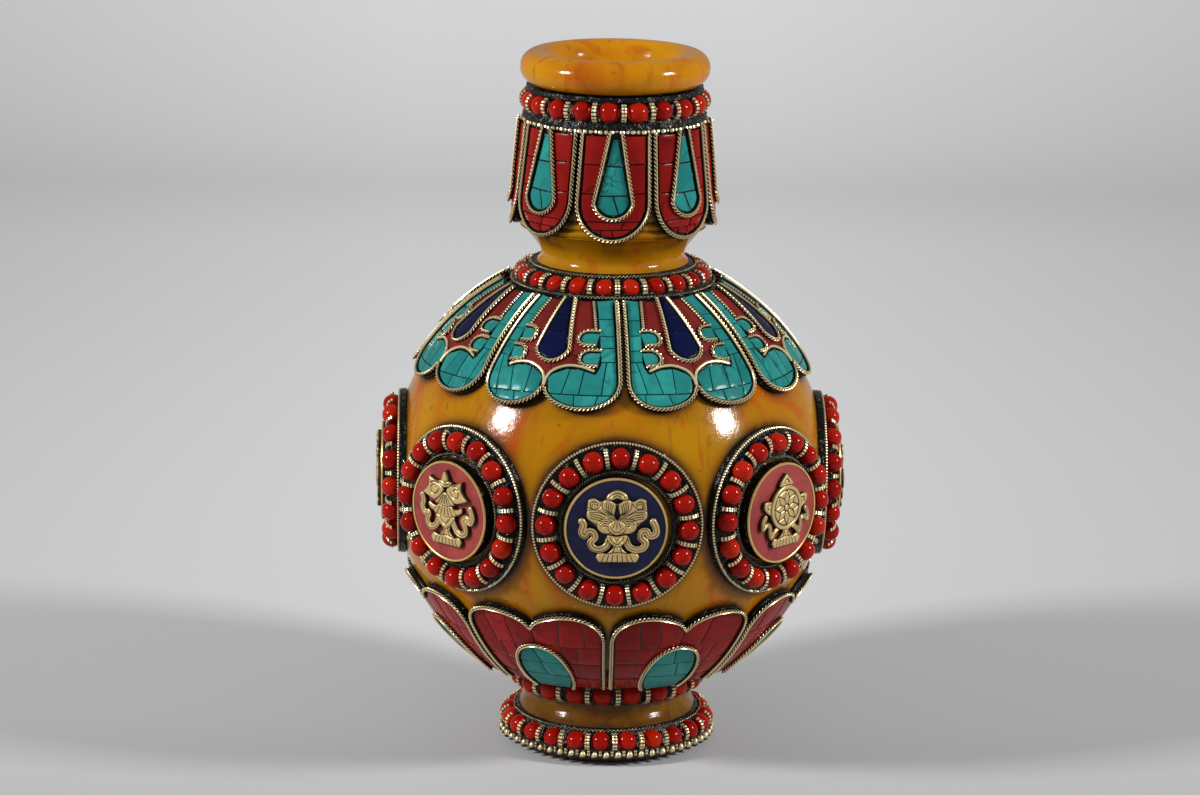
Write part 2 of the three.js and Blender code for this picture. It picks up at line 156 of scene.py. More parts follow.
def noise(tree, scale, detail=6, distortion=0.0, stretch=(1, 1, 1)):
    coordinates = tree.nodes.new("ShaderNodeTexCoord")
    mapping = tree.nodes.new("ShaderNodeMapping")
    mapping.inputs["Scale"].default_value = stretch
    texture = tree.nodes.new("ShaderNodeTexNoise")
    texture.inputs["Scale"].default_value = scale
    texture.inputs["Detail"].default_value = detail
    texture.inputs["Distortion"].default_value = distortion
    link(tree, coordinates.outputs["Object"], mapping.inputs["Vector"])
    link(tree, mapping.outputs["Vector"], texture.inputs["Vector"])
    return texture.outputs["Fac"]


def ramp(tree, value, stops):
    """A colour ramp from (position, colour) stops; a single number stands for a grey."""
    node = tree.nodes.new("ShaderNodeValToRGB")
    elements = node.color_ramp.elements
    while len(elements) < len(stops):
        elements.new(0.5)
    for element, (position, colour) in zip(elements, stops):
        element.position = position
        element.color = (*colour, 1) if isinstance(colour, tuple) else (colour, colour, colour, 1)
    link(tree, value, node.inputs["Fac"])
    return node.outputs["Color"]


def tone(tree):
    """The value stored on each vertex: a bead's or chip's own shade, a metal part's brightness, which carries
    painted light and shade in places, or wear, patina and painted shade on the amber.
    """
    node = tree.nodes.new("ShaderNodeAttribute")
    node.attribute_name = "tone"
    return node.outputs["Fac"]


def math_node(tree, operation, first, second, clamp=True):
    node = tree.nodes.new("ShaderNodeMath")
    node.operation = operation
    node.use_clamp = clamp
    for socket, value in zip(node.inputs, (first, second)):
        if isinstance(value, (int, float)):
            socket.default_value = value
        else:
            link(tree, value, socket)
    return node.outputs[0]


def mix(tree, share, first, second):
    node = tree.nodes.new("ShaderNodeMix")
    node.data_type = "RGBA"
    for name, value in (("Factor", share), ("A", first), ("B", second)):
        socket = next(s for s in node.inputs if s.name == name and s.enabled)
        if isinstance(value, tuple):
            socket.default_value = (*value, 1)
        elif isinstance(value, (int, float)):
            socket.default_value = value
        else:
            link(tree, value, socket)
    return next(s for s in node.outputs if s.enabled)


def bump(tree, shader, value, strength, distance):
    node = tree.nodes.new("ShaderNodeBump")
    node.inputs["Strength"].default_value = strength
    node.inputs["Distance"].default_value = distance
    link(tree, value, node.inputs["Height"])
    link(tree, node.outputs["Normal"], shader.inputs["Normal"])


def polish(shader, roughness, specular=0.5):
    shader.inputs["Roughness"].default_value = roughness
    shader.inputs["Specular IOR Level"].default_value = specular


def amber_material(name, yellow):
    """Mustard amber with orange-red clouds and veins, dark specks and brown streaks; where tone is high it is
    darkened by grime and painted shade.
    """
    material, tree, shader = node_material(name)
    deeper = (0.9 * yellow[0], 0.77 * yellow[1], 0.0005)
    clouds = noise(tree, 20, 5, 2.0, (1, 1, 0.55))
    body = ramp(tree, clouds, [(0.32, (0.38, 0.08, 0.001)), (0.43, deeper), (0.66, yellow)])
    veins = ramp(tree, noise(tree, 30, 4, 5, (1, 1, 0.4)), [(0.57, 0.0), (0.66, 0.5), (0.73, 0.0)])
    body = mix(tree, veins, body, (0.42, 0.05, 0.003))
    specks = ramp(tree, noise(tree, 330, 3), [(0.68, 0.0), (0.75, 0.6)])
    body = mix(tree, specks, body, (0.14, 0.04, 0.008))
    streaks = ramp(tree, noise(tree, 90, 5, 2.5, (1, 1, 0.22)), [(0.6, 0.0), (0.7, 0.45)])
    body = mix(tree, streaks, body, (0.24, 0.07, 0.006))
    uneven = ramp(tree, noise(tree, 110, 5, 1.5), [(0.3, 0.78), (0.6, 0.98)])
    # tone darkens the amber: grime, and painted shade beside plates, in grooves and where parts meet.
    grime_and_painted_shade = math_node(tree, "MULTIPLY", tone(tree), uneven)
    link(tree, mix(tree, grime_and_painted_shade, body, (0.045, 0.014, 0.004)), shader.inputs["Base Color"])
    polish(shader, 0.12, specular=0.2)
    bump(tree, shader, noise(tree, 500, 7), 0.35, 0.00016)
    return material


def bead_material():
    """Polished coral; each bead has its own red, faintly clouded."""
    material, tree, shader = node_material("coral_bead")
    reds = [(0, (0.23, 0.003, 0.001)), (0.6, (0.33, 0.006, 0.001)), (1, (0.42, 0.015, 0.002))]
    own = ramp(tree, tone(tree), reds)
    cloud = ramp(tree, noise(tree, 300, 4, 1), [(0.4, 0.0), (0.75, 0.5)])
    link(tree, mix(tree, cloud, own, (0.2, 0.002, 0.0005)), shader.inputs["Base Color"])
    polish(shader, 0.12, specular=0.14)
    bump(tree, shader, noise(tree, 700, 2), 0.12, 0.0001)
    return material


def chip_material(name, dark, light, vein_colour, vein_scale, vein_width=0.025, roughness=0.2):
    """Polished stone: each chip has its own shade, with fine wandering dark veins."""
    material, tree, shader = node_material(name)
    own = ramp(tree, tone(tree), [(0, dark), (1, light)])
    cloud = ramp(tree, noise(tree, 160, 5, 1), [(0.35, 0.4), (0.65, 0.0)])
    own = mix(tree, cloud, own, tuple(0.55 * channel for channel in dark))
    line = noise(tree, vein_scale, 3, 1.2)
    veins = ramp(tree, line, [(0.5 - vein_width, 0.0), (0.5, 0.7), (0.5 + vein_width, 0.0)])
    thin = ramp(tree, noise(tree, 90, 2), [(0.52, 0.0), (0.66, 1.0)])
    share = math_node(tree, "MULTIPLY", veins, thin)
    link(tree, mix(tree, share, own, vein_colour), shader.inputs["Base Color"])
    polish(shader, roughness, specular=0.1)
    bump(tree, shader, noise(tree, 420, 4), 0.3, 0.0002)
    return material


def enamel_material(name, colour):
    """Smooth enamel with faint darker clouds."""
    material, tree, shader = node_material(name)
    dark = tuple(0.7 * channel for channel in colour)
    clouded = ramp(tree, noise(tree, 140, 5, 1), [(0.35, dark), (0.6, colour)])
    link(tree, clouded, shader.inputs["Base Color"])
    polish(shader, 0.3, specular=0.2)
    bump(tree, shader, noise(tree, 600, 2), 0.1, 0.0001)
    return material


def lac_material():
    """Rough black lac in which fine twisted wire ends and metal dust glint."""
    material, tree, shader = node_material("black_lac")
    dust = noise(tree, 1100, 2, 0.6)
    dusted = ramp(tree, dust, [(0.67, (0.004, 0.005, 0.004)), (0.73, (0.3, 0.27, 0.2))])
    link(tree, dusted, shader.inputs["Base Color"])
    link(tree, ramp(tree, dust, [(0.67, 0.0), (0.73, 0.7)]), shader.inputs["Metallic"])
    polish(shader, 0.22, specular=0.2)
    bump(tree, shader, noise(tree, 420, 4, 0.5), 1.0, 0.0011)
    return material


def grout_material():
    """The grey-green filling between the chips of the lower petals."""
    material, tree, shader = node_material("petal_grout")
    shades = ramp(tree, noise(tree, 260, 4), [(0.35, (0.02, 0.03, 0.024)), (0.65, (0.06, 0.085, 0.07))])
    link(tree, shades, shader.inputs["Base Color"])
    polish(shader, 0.6, specular=0.2)
    bump(tree, shader, noise(tree, 800, 4), 0.6, 0.0004)
    return material


def brass_material(name, bright, dark, roughness, metallic, threshold=0.3, patches=0.5):
    """Brass that is bright where tone is near 1 and blackened where it is low: on wires these are crests and
    hollows; on bezel strips, the base crests and the reliefs the tone also carries painted light and shade.
    """
    material, tree, shader = node_material(name)
    patchy = math_node(tree, "ADD", noise(tree, 260, 5), patches)
    crest = math_node(tree, "MULTIPLY", tone(tree), patchy)
    link(tree, ramp(tree, crest, [(threshold, dark), (0.72, bright)]), shader.inputs["Base Color"])
    link(tree, ramp(tree, crest, [(0.2, 0.7), (0.7, roughness)]), shader.inputs["Roughness"])
    shader.inputs["Metallic"].default_value = metallic
    bump(tree, shader, noise(tree, 1200, 3), 0.25, 0.0001)
    return material


def lacquer_material():
    """Worn dark red-brown lacquer."""
    material, tree, shader = node_material("base_lacquer")
    worn = ramp(tree, noise(tree, 90, 6, 1), [(0.35, (0.02, 0.004, 0.003)), (0.65, (0.06, 0.01, 0.007))])
    link(tree, worn, shader.inputs["Base Color"])
    polish(shader, 0.42)
    bump(tree, shader, noise(tree, 700, 3), 0.3, 0.0002)
    return material


AMBER = amber_material("amber", (0.41, 0.19, 0.001))
# The lip's amber is a paler copy of the globe's amber: painted light, standing in for light glowing through
# the lip.
LIP_AMBER_PAINTED_GLOW = amber_material("lip_amber_painted_glow", (0.52, 0.225, 0.001))
BEAD = bead_material()
CORAL = chip_material("coral_chip", (0.185, 0.005, 0.004), (0.29, 0.011, 0.008), (0.035, 0.005, 0.004), 60)
ROUGH_CORAL = chip_material(
    "rough_coral", (0.13, 0.01, 0.008), (0.2, 0.018, 0.014), (0.02, 0.01, 0.008), 130,
    vein_width=0.06, roughness=0.5)
TURQUOISE = chip_material(
    "turquoise_chip", (0.012, 0.165, 0.155), (0.028, 0.265, 0.245), (0.004, 0.03, 0.03), 110)
LAPIS = chip_material("lapis", (0.002, 0.004, 0.028), (0.003, 0.006, 0.04), (0.001, 0.001, 0.01), 60)
BLUE_ENAMEL = enamel_material("blue_enamel", (0.011, 0.013, 0.05))
RED_ENAMEL = enamel_material("red_enamel", (0.3, 0.045, 0.04))
LAC = lac_material()
GROUT_FILL = grout_material()
WIRE_BRASS = brass_material(
    "wire_brass", (0.82, 0.67, 0.38), (0.012, 0.009, 0.006), roughness=0.24, metallic=0.62, threshold=0.34)
CAST_BRASS = brass_material(
    "cast_brass", (0.56, 0.4, 0.17), (0.03, 0.016, 0.005), roughness=0.32, metallic=0.5, threshold=0.22,
    patches=0.36)
GILT = brass_material("gilt", (0.68, 0.47, 0.16), (0.04, 0.024, 0.008), roughness=0.3, metallic=0.7)
LACQUER = lacquer_material()


# Meshes

class Pile:
    """Vertices in millimetres, faces, tones and material numbers, gathered into one piece."""

    def __init__(self):
        self.vertices = []
        self.tones = []
        self.faces = []
        self.slots = []
        self.count = 0

    def add(self, vertices, faces, tone=0.5, slot=0):
        vertices = np.asarray(vertices, float).reshape(-1, 3)
        self.vertices.append(vertices)
        self.tones.append(np.broadcast_to(np.asarray(tone, float), (len(vertices),)))
        self.faces += [tuple(int(i) + self.count for i in face) for face in faces]
        self.slots += [slot] * len(faces)
        self.count += len(vertices)

    def piece(self, name, materials, slot, nodes, crease=38):
        mesh = bpy.data.meshes.new(name)
        mesh.from_pydata((np.concatenate(self.vertices) * MM).tolist(), [], self.faces)
        attribute = mesh.attributes.new("tone", "FLOAT", "POINT")
        attribute.data.foreach_set("value", np.concatenate(self.tones).astype(np.float32))
        for material in materials:
            mesh.materials.append(material)
        mesh.polygons.foreach_set("material_index", self.slots)
        mesh.polygons.foreach_set("use_smooth", [True] * len(self.faces))
        mesh.set_sharp_from_angle(angle=math.radians(crease))
        made = bpy.data.objects.new(name, mesh)
        bpy.context.scene.collection.objects.link(made)
        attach(made, "root")
        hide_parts(*nodes)


def arc(across, up, radius, start, end, steps):
    """Points of an arc, angles in degrees."""
    angles = np.radians(np.linspace(start, end, steps + 1))
    return [(across + radius * math.cos(a), up + radius * math.sin(a)) for a in angles]


def circle(radius, steps=120):
    angles = np.linspace(0, 2 * math.pi, steps, endpoint=False)
    return np.column_stack([radius * np.cos(angles), radius * np.sin(angles)])


def lathe(profile, segments=192):
    """A turned closed surface from (radius, height) points that run anticlockwise in section."""
    on_axis = [radius < 1e-6 for radius, _ in profile]
    closes = not (on_axis[0] and on_axis[-1])
    angles = np.linspace(0, 2 * math.pi, segments, endpoint=False)
    vertices, starts = [], []
    for (radius, height), single in zip(profile, on_axis):
        starts.append(len(vertices))
        for angle in angles[:1] if single else angles:
            vertices.append((radius * math.cos(angle), radius * math.sin(angle), height))
    faces = []
    rows = len(profile)
    for row in range(rows if closes else rows - 1):
        low, high = starts[row], starts[(row + 1) % rows]
        for i in range(segments):
            j = (i + 1) % segments
            if on_axis[row]:
                faces.append((low, high + j, high + i))
            elif on_axis[(row + 1) % rows]:
                faces.append((low + i, low + j, high))
            else:
                faces.append((low + i, low + j, high + j, high + i))
    return vertices, faces


def polar(azimuth, radius, height):
    """Azimuth runs from -Y towards +X, in degrees."""
    a = np.radians(azimuth)
    return np.stack(np.broadcast_arrays(radius * np.sin(a), -radius * np.cos(a), height), axis=-1)


def columns_of(points):
    return np.asarray(points, float).reshape(-1, 3).T


def globe_sheet(azimuth, flare_from=None, skew=0.0):
    """Maps flat (x, y, h) to the globe: y along the meridian, x along the parallel, h outwards. Skew
    moves a plate's middle sideways, as its maker's hand did, and leaves its sides. A plate stands out
    more and more from the latitude flare_from towards the foot."""
    def place(points):
        x, y, h = columns_of(points)
        latitude = y / SHEET_RADIUS
        x = x + skew * np.clip(1 - (x / side_at(y)) ** 2, 0, 1)
        turn = azimuth + np.degrees(x / (SHEET_RADIUS * np.cos(latitude)))
        radius = GLOBE_RADIUS + h
        if flare_from is not None:
            share = np.clip((np.radians(flare_from) - latitude) / np.radians(flare_from - PETAL[0]), 0, 1)
            radius = radius + PETAL_FLARE * share * np.clip(h / BED_TOP, 0, 1)
        return polar(turn, radius * np.cos(latitude), GLOBE_CENTRE + radius * np.sin(latitude))
    return place


def neck_radius(height):
    """The neck under its panels widens downwards, then runs straight."""
    share = np.clip((PANEL_TOP - height) / (PANEL_TOP - NECK_BELLY), 0, 1)
    return NECK_TOP_RADIUS + (NECK_BELLY_RADIUS - NECK_TOP_RADIUS) * share


def neck_sheet(azimuth, lean=0.0):
    """Maps flat (x, y, h) to the neck: y is the height, h stands out from the amber."""
    def place(points):
        x, y, h = columns_of(points)
        radius = neck_radius(y) + h
        across = x + lean * (y - (PANEL_TOP + PANEL_FOOT) / 2)
        return polar(azimuth + np.degrees(across / PANEL_SHEET), radius, y)
    return place


def medallion_sheet(azimuth):
    """Maps flat (x, y, h) to a medallion: h is the distance from the vase's axis."""
    a = math.radians(azimuth)

    def place(points):
        x, y, h = columns_of(points)
        across, back = x * math.cos(a) + h * math.sin(a), x * math.sin(a) - h * math.cos(a)
        return np.stack([across, back, GLOBE_CENTRE + y], axis=-1)
    return place


def signed_area(outline):
    x, y = np.asarray(outline, float).T
    return 0.5 * np.sum(x * np.roll(y, -1) - np.roll(x, -1) * y)


def anticlockwise(outline):
    outline = np.asarray(outline, float)
    return outline if signed_area(outline) > 0 else outline[::-1]


def shrink(outline, distance):
    """Moves the sides of an anticlockwise outline inwards."""
    points = np.asarray(outline, float)
    ahead = np.roll(points, -1, axis=0) - points
    length = np.maximum(np.linalg.norm(ahead, axis=1, keepdims=True), 1e-9)
    inward = np.stack([-ahead[:, 1], ahead[:, 0]], axis=1) / length
    before = np.roll(inward, 1, axis=0)
    facing_share = np.maximum(1 + np.sum(inward * before, axis=1, keepdims=True), 0.35)
    return points + distance * (inward + before) / facing_share


def course(points, closed):
    """The way a dense path runs at each of its points."""
    if closed:
        return np.roll(points, -1, axis=0) - np.roll(points, 1, axis=0)
    return np.gradient(points, axis=0)


def offset(path, distance, closed):
    """Moves a dense flat path to its left."""
    points = np.asarray(path, float)
    along = course(points, closed)
    left = np.column_stack([-along[:, 1], along[:, 0]])
    return points + distance * left / np.maximum(np.linalg.norm(left, axis=1, keepdims=True), 1e-9)


def densified(path, step=0.8, closed=False):
    """Points added along the long stretches of a flat path."""
    path = np.asarray(path, float)
    ends = np.roll(path, -1, axis=0) if closed else path[1:]
    points = []
    for start, end in zip(path, ends):
        parts = max(1, math.ceil(np.linalg.norm(end - start) / step))
        points += [start + (end - start) * i / parts for i in range(parts)]
    return np.array(points if closed else points + [path[-1]])


def smooth(points, closed=True, steps=5):
    """A curve through the points; a point given twice makes a corner."""
    points = np.asarray(points, float)
    if closed:
        padded = np.vstack([points[-1:], points, points[:2]])
    else:
        padded = np.vstack([points[:1], points, points[-1:]])
    curve = []
    for a, b, c, d in zip(padded[:-3], padded[1:-2], padded[2:-1], padded[3:]):
        if np.allclose(b, c):
            continue
        for t in np.linspace(0, 1, steps, endpoint=False):
            curve.append(0.5 * (2 * b + (c - a) * t + (2 * a - 5 * b + 4 * c - d) * t ** 2
                                + (3 * b - a - 3 * c + d) * t ** 3))
    if not closed:
        curve.append(points[-1])
    return np.array(curve)


def mirror(points, about=0.0):
    return [(2 * about - x, y) for x, y in points]


def sided(points, side, about=0.0):
    """A shape drawn on the right, mirrored to the left where side is -1."""
    return list(points) if side > 0 else mirror(points, about)


def whole(half, about=0.0):
    """An even outline from its right half; points on the middle line aren't repeated."""
    return half + [point for point in mirror(half[::-1], about) if abs(point[0] - about) > 1e-9]


def pillow(outline, base, top, bevel=CHIP_BEVEL, crown=0.0, spacing=2.4):
    """A flat-backed slab with softened top edges, its top filled by rings that close on its middle."""
    points = anticlockwise(outline)
    face = shrink(points, bevel)
    levels = [(points, base), (points, top - bevel)]
    levels += [(shrink(points, bevel * 0.3), top - bevel * 0.25), (face, top)]
    centre = face.mean(axis=0)
    rings = math.ceil(np.linalg.norm(face - centre, axis=1).max() / spacing)
    for ring in range(1, rings):
        share = 1 - ring / rings
        levels.append((centre + (face - centre) * share, top + crown * (1 - share ** 2)))
    count = len(points)
    rows = [np.column_stack([flat, np.full(count, height)]) for flat, height in levels]
    vertices = np.concatenate([*rows, [[*centre, top + crown]], [[*points.mean(axis=0), base]]])
    faces = []
    for level in range(len(levels) - 1):
        for i in range(count):
            j = (i + 1) % count
            low, high = level * count, (level + 1) * count
            faces.append((low + i, low + j, high + j, high + i))
    last, apex = (len(levels) - 1) * count, len(levels) * count
    for i in range(count):
        j = (i + 1) % count
        faces.append((last + i, last + j, apex))
        faces.append((j, i, apex + 1))
    return vertices, faces


# Wires: sides of a wire's section, and steps along each turn, tooth or dot

WIRE_SIDES = 8
PER_BUMP = 6


def resampled(points, count, closed):
    """Evenly spaced points along a path, and its length."""
    if closed:
        points = np.vstack([points, points[:1]])
    lengths = np.concatenate([[0], np.cumsum(np.linalg.norm(np.diff(points, axis=0), axis=1))])
    at = np.linspace(0, lengths[-1], count + 1)
    if closed:
        at = at[:-1]
    return np.stack([np.interp(at, lengths, points[:, k]) for k in range(3)], axis=1), lengths[-1]


def wire(path, outward, half_width, kind="plain", pitch=1.25, closed=False, tall=1.0):
    """A wire as a tube. A rope is an oval section that turns, so that its crests slant;
    teeth are a flatter one; dots swell and shrink. Tone is 1 on the crests and 0 in the hollows."""
    path = np.asarray(path, float)
    ends = np.vstack([path, path[:1]]) if closed else path
    length = np.linalg.norm(np.diff(ends, axis=0), axis=1).sum()
    bumps = max(2, round(length / pitch))
    count = bumps * PER_BUMP if kind != "plain" else max(6, round(length / (1.1 * half_width)))
    points, length = resampled(path, count, closed)
    count = len(points)
    along = course(points, closed)
    along /= np.maximum(np.linalg.norm(along, axis=1, keepdims=True), 1e-9)
    across = np.cross(along, outward(points))
    across /= np.linalg.norm(across, axis=1, keepdims=True)
    normal = np.cross(across, along)
    angles = np.linspace(0, 2 * math.pi, WIRE_SIDES, endpoint=False)
    size, twist, crest = np.ones(count), np.zeros(count), np.ones((count, WIRE_SIDES))
    squeeze = 1.0
    if kind in ("rope", "teeth"):
        twist = math.pi * np.arange(count) / PER_BUMP
        squeeze = 0.5 if kind == "rope" else 0.46
        crest = crest * np.abs(np.cos(angles))
    elif kind == "dots":
        phase = (np.arange(count) % PER_BUMP + 0.5) / PER_BUMP
        swell = np.sqrt(1 - (2 * phase - 1) ** 2)
        size = 0.4 + 0.6 * swell
        crest = crest * np.clip(1.8 * swell - 0.75, 0, 1)[:, None]
    if not closed:
        to_end = np.minimum(np.arange(count), np.arange(count)[::-1]) * length / count / half_width
        size = size * np.sqrt(1 - (1 - np.clip(to_end + 0.2, 0, 1)) ** 2)
    u = half_width * np.cos(angles)[None, :] * size[:, None]
    v = half_width * squeeze * np.sin(angles)[None, :] * size[:, None]
    c, s = np.cos(twist)[:, None], np.sin(twist)[:, None]
    ring = (u * c - v * s)[..., None] * across[:, None, :]
    ring = ring + tall * (u * s + v * c)[..., None] * normal[:, None, :]
    vertices = (points[:, None, :] + ring).reshape(-1, 3)
    faces = []
    for i in range(count if closed else count - 1):
        j = (i + 1) % count
        for k in range(WIRE_SIDES):
            m = (k + 1) % WIRE_SIDES
            near, far = i * WIRE_SIDES, j * WIRE_SIDES
            faces.append((near + k, near + m, far + m, far + k))
    if not closed:
        faces.append(tuple(reversed(range(WIRE_SIDES))))
        faces.append(tuple((count - 1) * WIRE_SIDES + k for k in range(WIRE_SIDES)))
    return vertices, faces, crest.reshape(-1)


def from_axis(points):
    flat = points * np.array([1, 1, 0])
    return flat / np.linalg.norm(flat, axis=1, keepdims=True)


def from_globe(points):
    out = points - np.array([0, 0, GLOBE_CENTRE])
    return out / np.linalg.norm(out, axis=1, keepdims=True)


def facing(azimuth):
    direction = polar(azimuth, 1.0, 0.0).reshape(3)
    return lambda points: np.broadcast_to(direction, points.shape)


def lay_wire(pile, path, outward, slot, half_width, shade=1.0, **settings):
    """A wire along a path in space."""
    vertices, faces, tones = wire(path, outward, half_width, **settings)
    pile.add(vertices, faces, tones * shade, slot)


def add_wire(pile, path, height, place, *rest, **settings):
    """A wire along a flat path, carried to the surface by place."""
    points = np.column_stack([np.asarray(path, float), np.full(len(path), height)])
    lay_wire(pile, place(points), *rest, **settings)


def add_bezel(pile, path, height, place, outward, slot, closed=False, shade=0.75):
    """An upright strip along the path, and a twisted wire along its outer side, which is on the right."""
    points = np.column_stack([path, np.full(len(path), height - 0.95)])
    vertices, faces, _ = wire(place(points), outward, STRIP_HALF, closed=closed, tall=3.7)
    # Painted light and shade: the strip is bright along its top edge, partly as wear, and painted dark down
    # its walls as shade.
    turn = np.linspace(0, 2 * math.pi, WIRE_SIDES, endpoint=False)
    rise = np.tile(np.sin(turn), len(vertices) // WIRE_SIDES)
    pile.add(vertices, faces, np.clip(shade * (1.9 * rise - 0.55), 0.02, 1), slot)
    twisted = offset(path, -TWIST_OUT, closed)
    add_wire(pile, twisted, height - 0.5, place, outward, slot, TWIST_HALF, kind="teeth", pitch=TWIST_PITCH,
             closed=closed, tall=0.75)


# Small solids and mosaic

def ball(detail):
    mesh = bmesh.new()
    bmesh.ops.create_icosphere(mesh, subdivisions=detail, radius=1)
    vertices = np.array([v.co[:] for v in mesh.verts])
    faces = [tuple(v.index for v in f.verts) for f in mesh.faces]
    mesh.free()
    return vertices, faces


BALL = ball(4)
GRANULE = ball(2)


def add_bead(pile, centre, string, outward, radius, slot):
    """A coral bead, a little barrel-shaped along its string and never quite the same size."""
    vertices, faces = BALL
    basis = np.array([string, outward, np.cross(outward, string)])
    size = radius * random.uniform(0.93, 1.02, 3)
    power = np.array([random.uniform(0.86, 1.0), 1, 1])
    barrel = np.sign(vertices) * np.abs(vertices) ** power
    pile.add(centre + (barrel * size) @ basis, faces, random.uniform(0, 1), slot)


def add_granule(pile, centre, radius, slot, shade):
    vertices, faces = GRANULE
    pile.add(centre + vertices * radius * random.uniform(0.9, 1.08), faces, shade, slot)


def split_region(outline, rows, columns, jitter=0.0):
    """Cuts a flat outline into chips: rows are heights, columns gives each row's (x, lean) cuts."""
    mesh = bmesh.new()
    mesh.faces.new([mesh.verts.new((x, y, 0)) for x, y in outline])

    def cut(faces, point, normal):
        parts = set(faces)
        for face in faces:
            parts.update(face.edges)
            parts.update(face.verts)
        bmesh.ops.bisect_plane(mesh, geom=list(parts), plane_co=point, plane_no=normal, dist=1e-5)

    for height in rows:
        cut(mesh.faces[:], (0, height, 0), (random.uniform(-jitter, jitter) * 0.05, 1, 0))
    heights = sorted(rows)
    for index in range(len(heights) + 1):
        low = heights[index - 1] if index else -1e6
        high = heights[index] if index < len(heights) else 1e6
        for x, lean in columns(index):
            band = [f for f in mesh.faces if low < f.calc_center_median().y < high]
            if band:
                middle = np.mean([f.calc_center_median().y for f in band])
                shift = x + random.uniform(-jitter, jitter)
                cut(band, (shift, middle, 0), (1, lean + random.uniform(-0.08, 0.08), 0))
    chips = [[(v.co.x, v.co.y) for v in face.verts] for face in mesh.faces]
    mesh.free()
    return chips


def add_solid(pile, solid, place, slot=0, shade=0.5):
    """Adds a solid that is drawn flat and carried to the surface by place."""
    vertices, faces = solid
    pile.add(place(vertices), faces, shade, slot)


def add_chips(pile, chips, place, base, top, slot, crown=0.04, joint=GROUT):
    """Cut stones, each a little higher or lower than the next, with a joint round it."""
    for chip in chips:
        outline = anticlockwise(chip)
        if signed_area(outline) < 1.0:
            continue
        outline = densified(shrink(outline, joint / 2), 2.0, closed=True)
        stone = pillow(outline, base, top + random.uniform(-0.05, 0.05), crown=crown)
        add_solid(pile, stone, place, slot, random.uniform(0, 1))


# Turned pieces

def turned(name, profile, material, slot, node, wear_and_painted_shade=lambda points: 0.5, segments=192, crease=60):
    """A turned piece that replaces a node; wear_and_painted_shade gives each point's grime and painted shade,
    from 0 to 1.
    """
    vertices, faces = lathe(profile, segments)
    pile = Pile()
    pile.add(vertices, faces, wear_and_painted_shade(np.asarray(vertices)))
    pile.piece(name, [material], slot, [node], crease)


def off_nearest(azimuth, turn=0):
    """How far an azimuth lies from the nearest of the copies, one of which is at turn."""
    step = 360 / COPIES
    return (azimuth - turn + step / 2) % step - step / 2


def patina_and_painted_shade(points):
    """Grime on the globe beside its plates and medallions, with painted shade close to where they meet it,
    from 0 to 1.
    """
    x, y, z = np.asarray(points, float).T
    azimuth = np.degrees(np.arctan2(x, -y))
    latitude = np.degrees(np.arcsin(np.clip((z - GLOBE_CENTRE) / GLOBE_RADIUS, -1, 1)))
    off_medallion = off_nearest(azimuth, MEDALLION_TURN)
    reach = GLOBE_RADIUS * np.sqrt(
        (np.sin(np.radians(off_medallion)) * np.cos(np.radians(latitude))) ** 2
        + np.sin(np.radians(latitude)) ** 2)
    distances = [np.abs(reach - MEDALLION_RADIUS)]
    for turn, (_, corner, notch, tip) in ((LAPPET_TURN, LAPPET), (PETAL_TURN, PETAL)):
        cosine = np.clip(2 * np.abs(off_nearest(azimuth, turn)) / PLATE_HALF - 1, -1, 1)
        base = corner + (notch - corner) * np.arccos(cosine) / np.pi
        border = base + (tip - base) * np.sqrt(1 - cosine ** 2)
        gap = (border - latitude) * np.sign(corner - tip)
        distances.append(np.where(gap > 0, np.radians(np.abs(gap)) * GLOBE_RADIUS, 0))
    nearest = np.min(distances, axis=0)
    # Painted shade and grime: darkest right beside a plate or medallion, fading over a few millimetres.
    return 0.95 * np.exp(-(nearest / 1.2) ** 1.2) + 0.12 * np.exp(-nearest / 8)


def latitude_at(height, radius):
    return math.degrees(math.asin((height - GLOBE_CENTRE) / radius))


def build_globe():
    floor, crown = floor_of("amber_globe"), top_of("amber_globe")
    hollow, inner_floor = GLOBE_RADIUS - GLOBE_WALL, floor + 6.8
    ends = latitude_at(floor, GLOBE_RADIUS), latitude_at(crown, GLOBE_RADIUS)
    profile = [(0, floor), *arc(0, GLOBE_CENTRE, GLOBE_RADIUS, *ends, 220), (MOUTH_RADIUS, crown)]
    rim = math.degrees(math.acos(MOUTH_RADIUS / hollow))
    profile += arc(0, GLOBE_CENTRE, hollow, rim, latitude_at(inner_floor, hollow), 40)
    profile.append((0, inner_floor))
    turned("globe_skin", profile, AMBER, "amber", "amber_globe", patina_and_painted_shade, segments=480, crease=38)


def beside_panel(points):
    """How far each point of the neck lies from the nearest panel."""
    x, y, z = np.asarray(points, float).T
    off = off_nearest(np.degrees(np.arctan2(x, -y)))
    rise = np.clip((z - PANEL_END) / PANEL_ROUND, 0, 1)
    half = PANEL_HALF * np.sqrt(1 - (1 - rise) ** 2)
    across = np.radians(np.abs(off)) * PANEL_SHEET - half
    return np.hypot(np.clip(across, 0, None), np.clip(PANEL_END - z, 0, None))


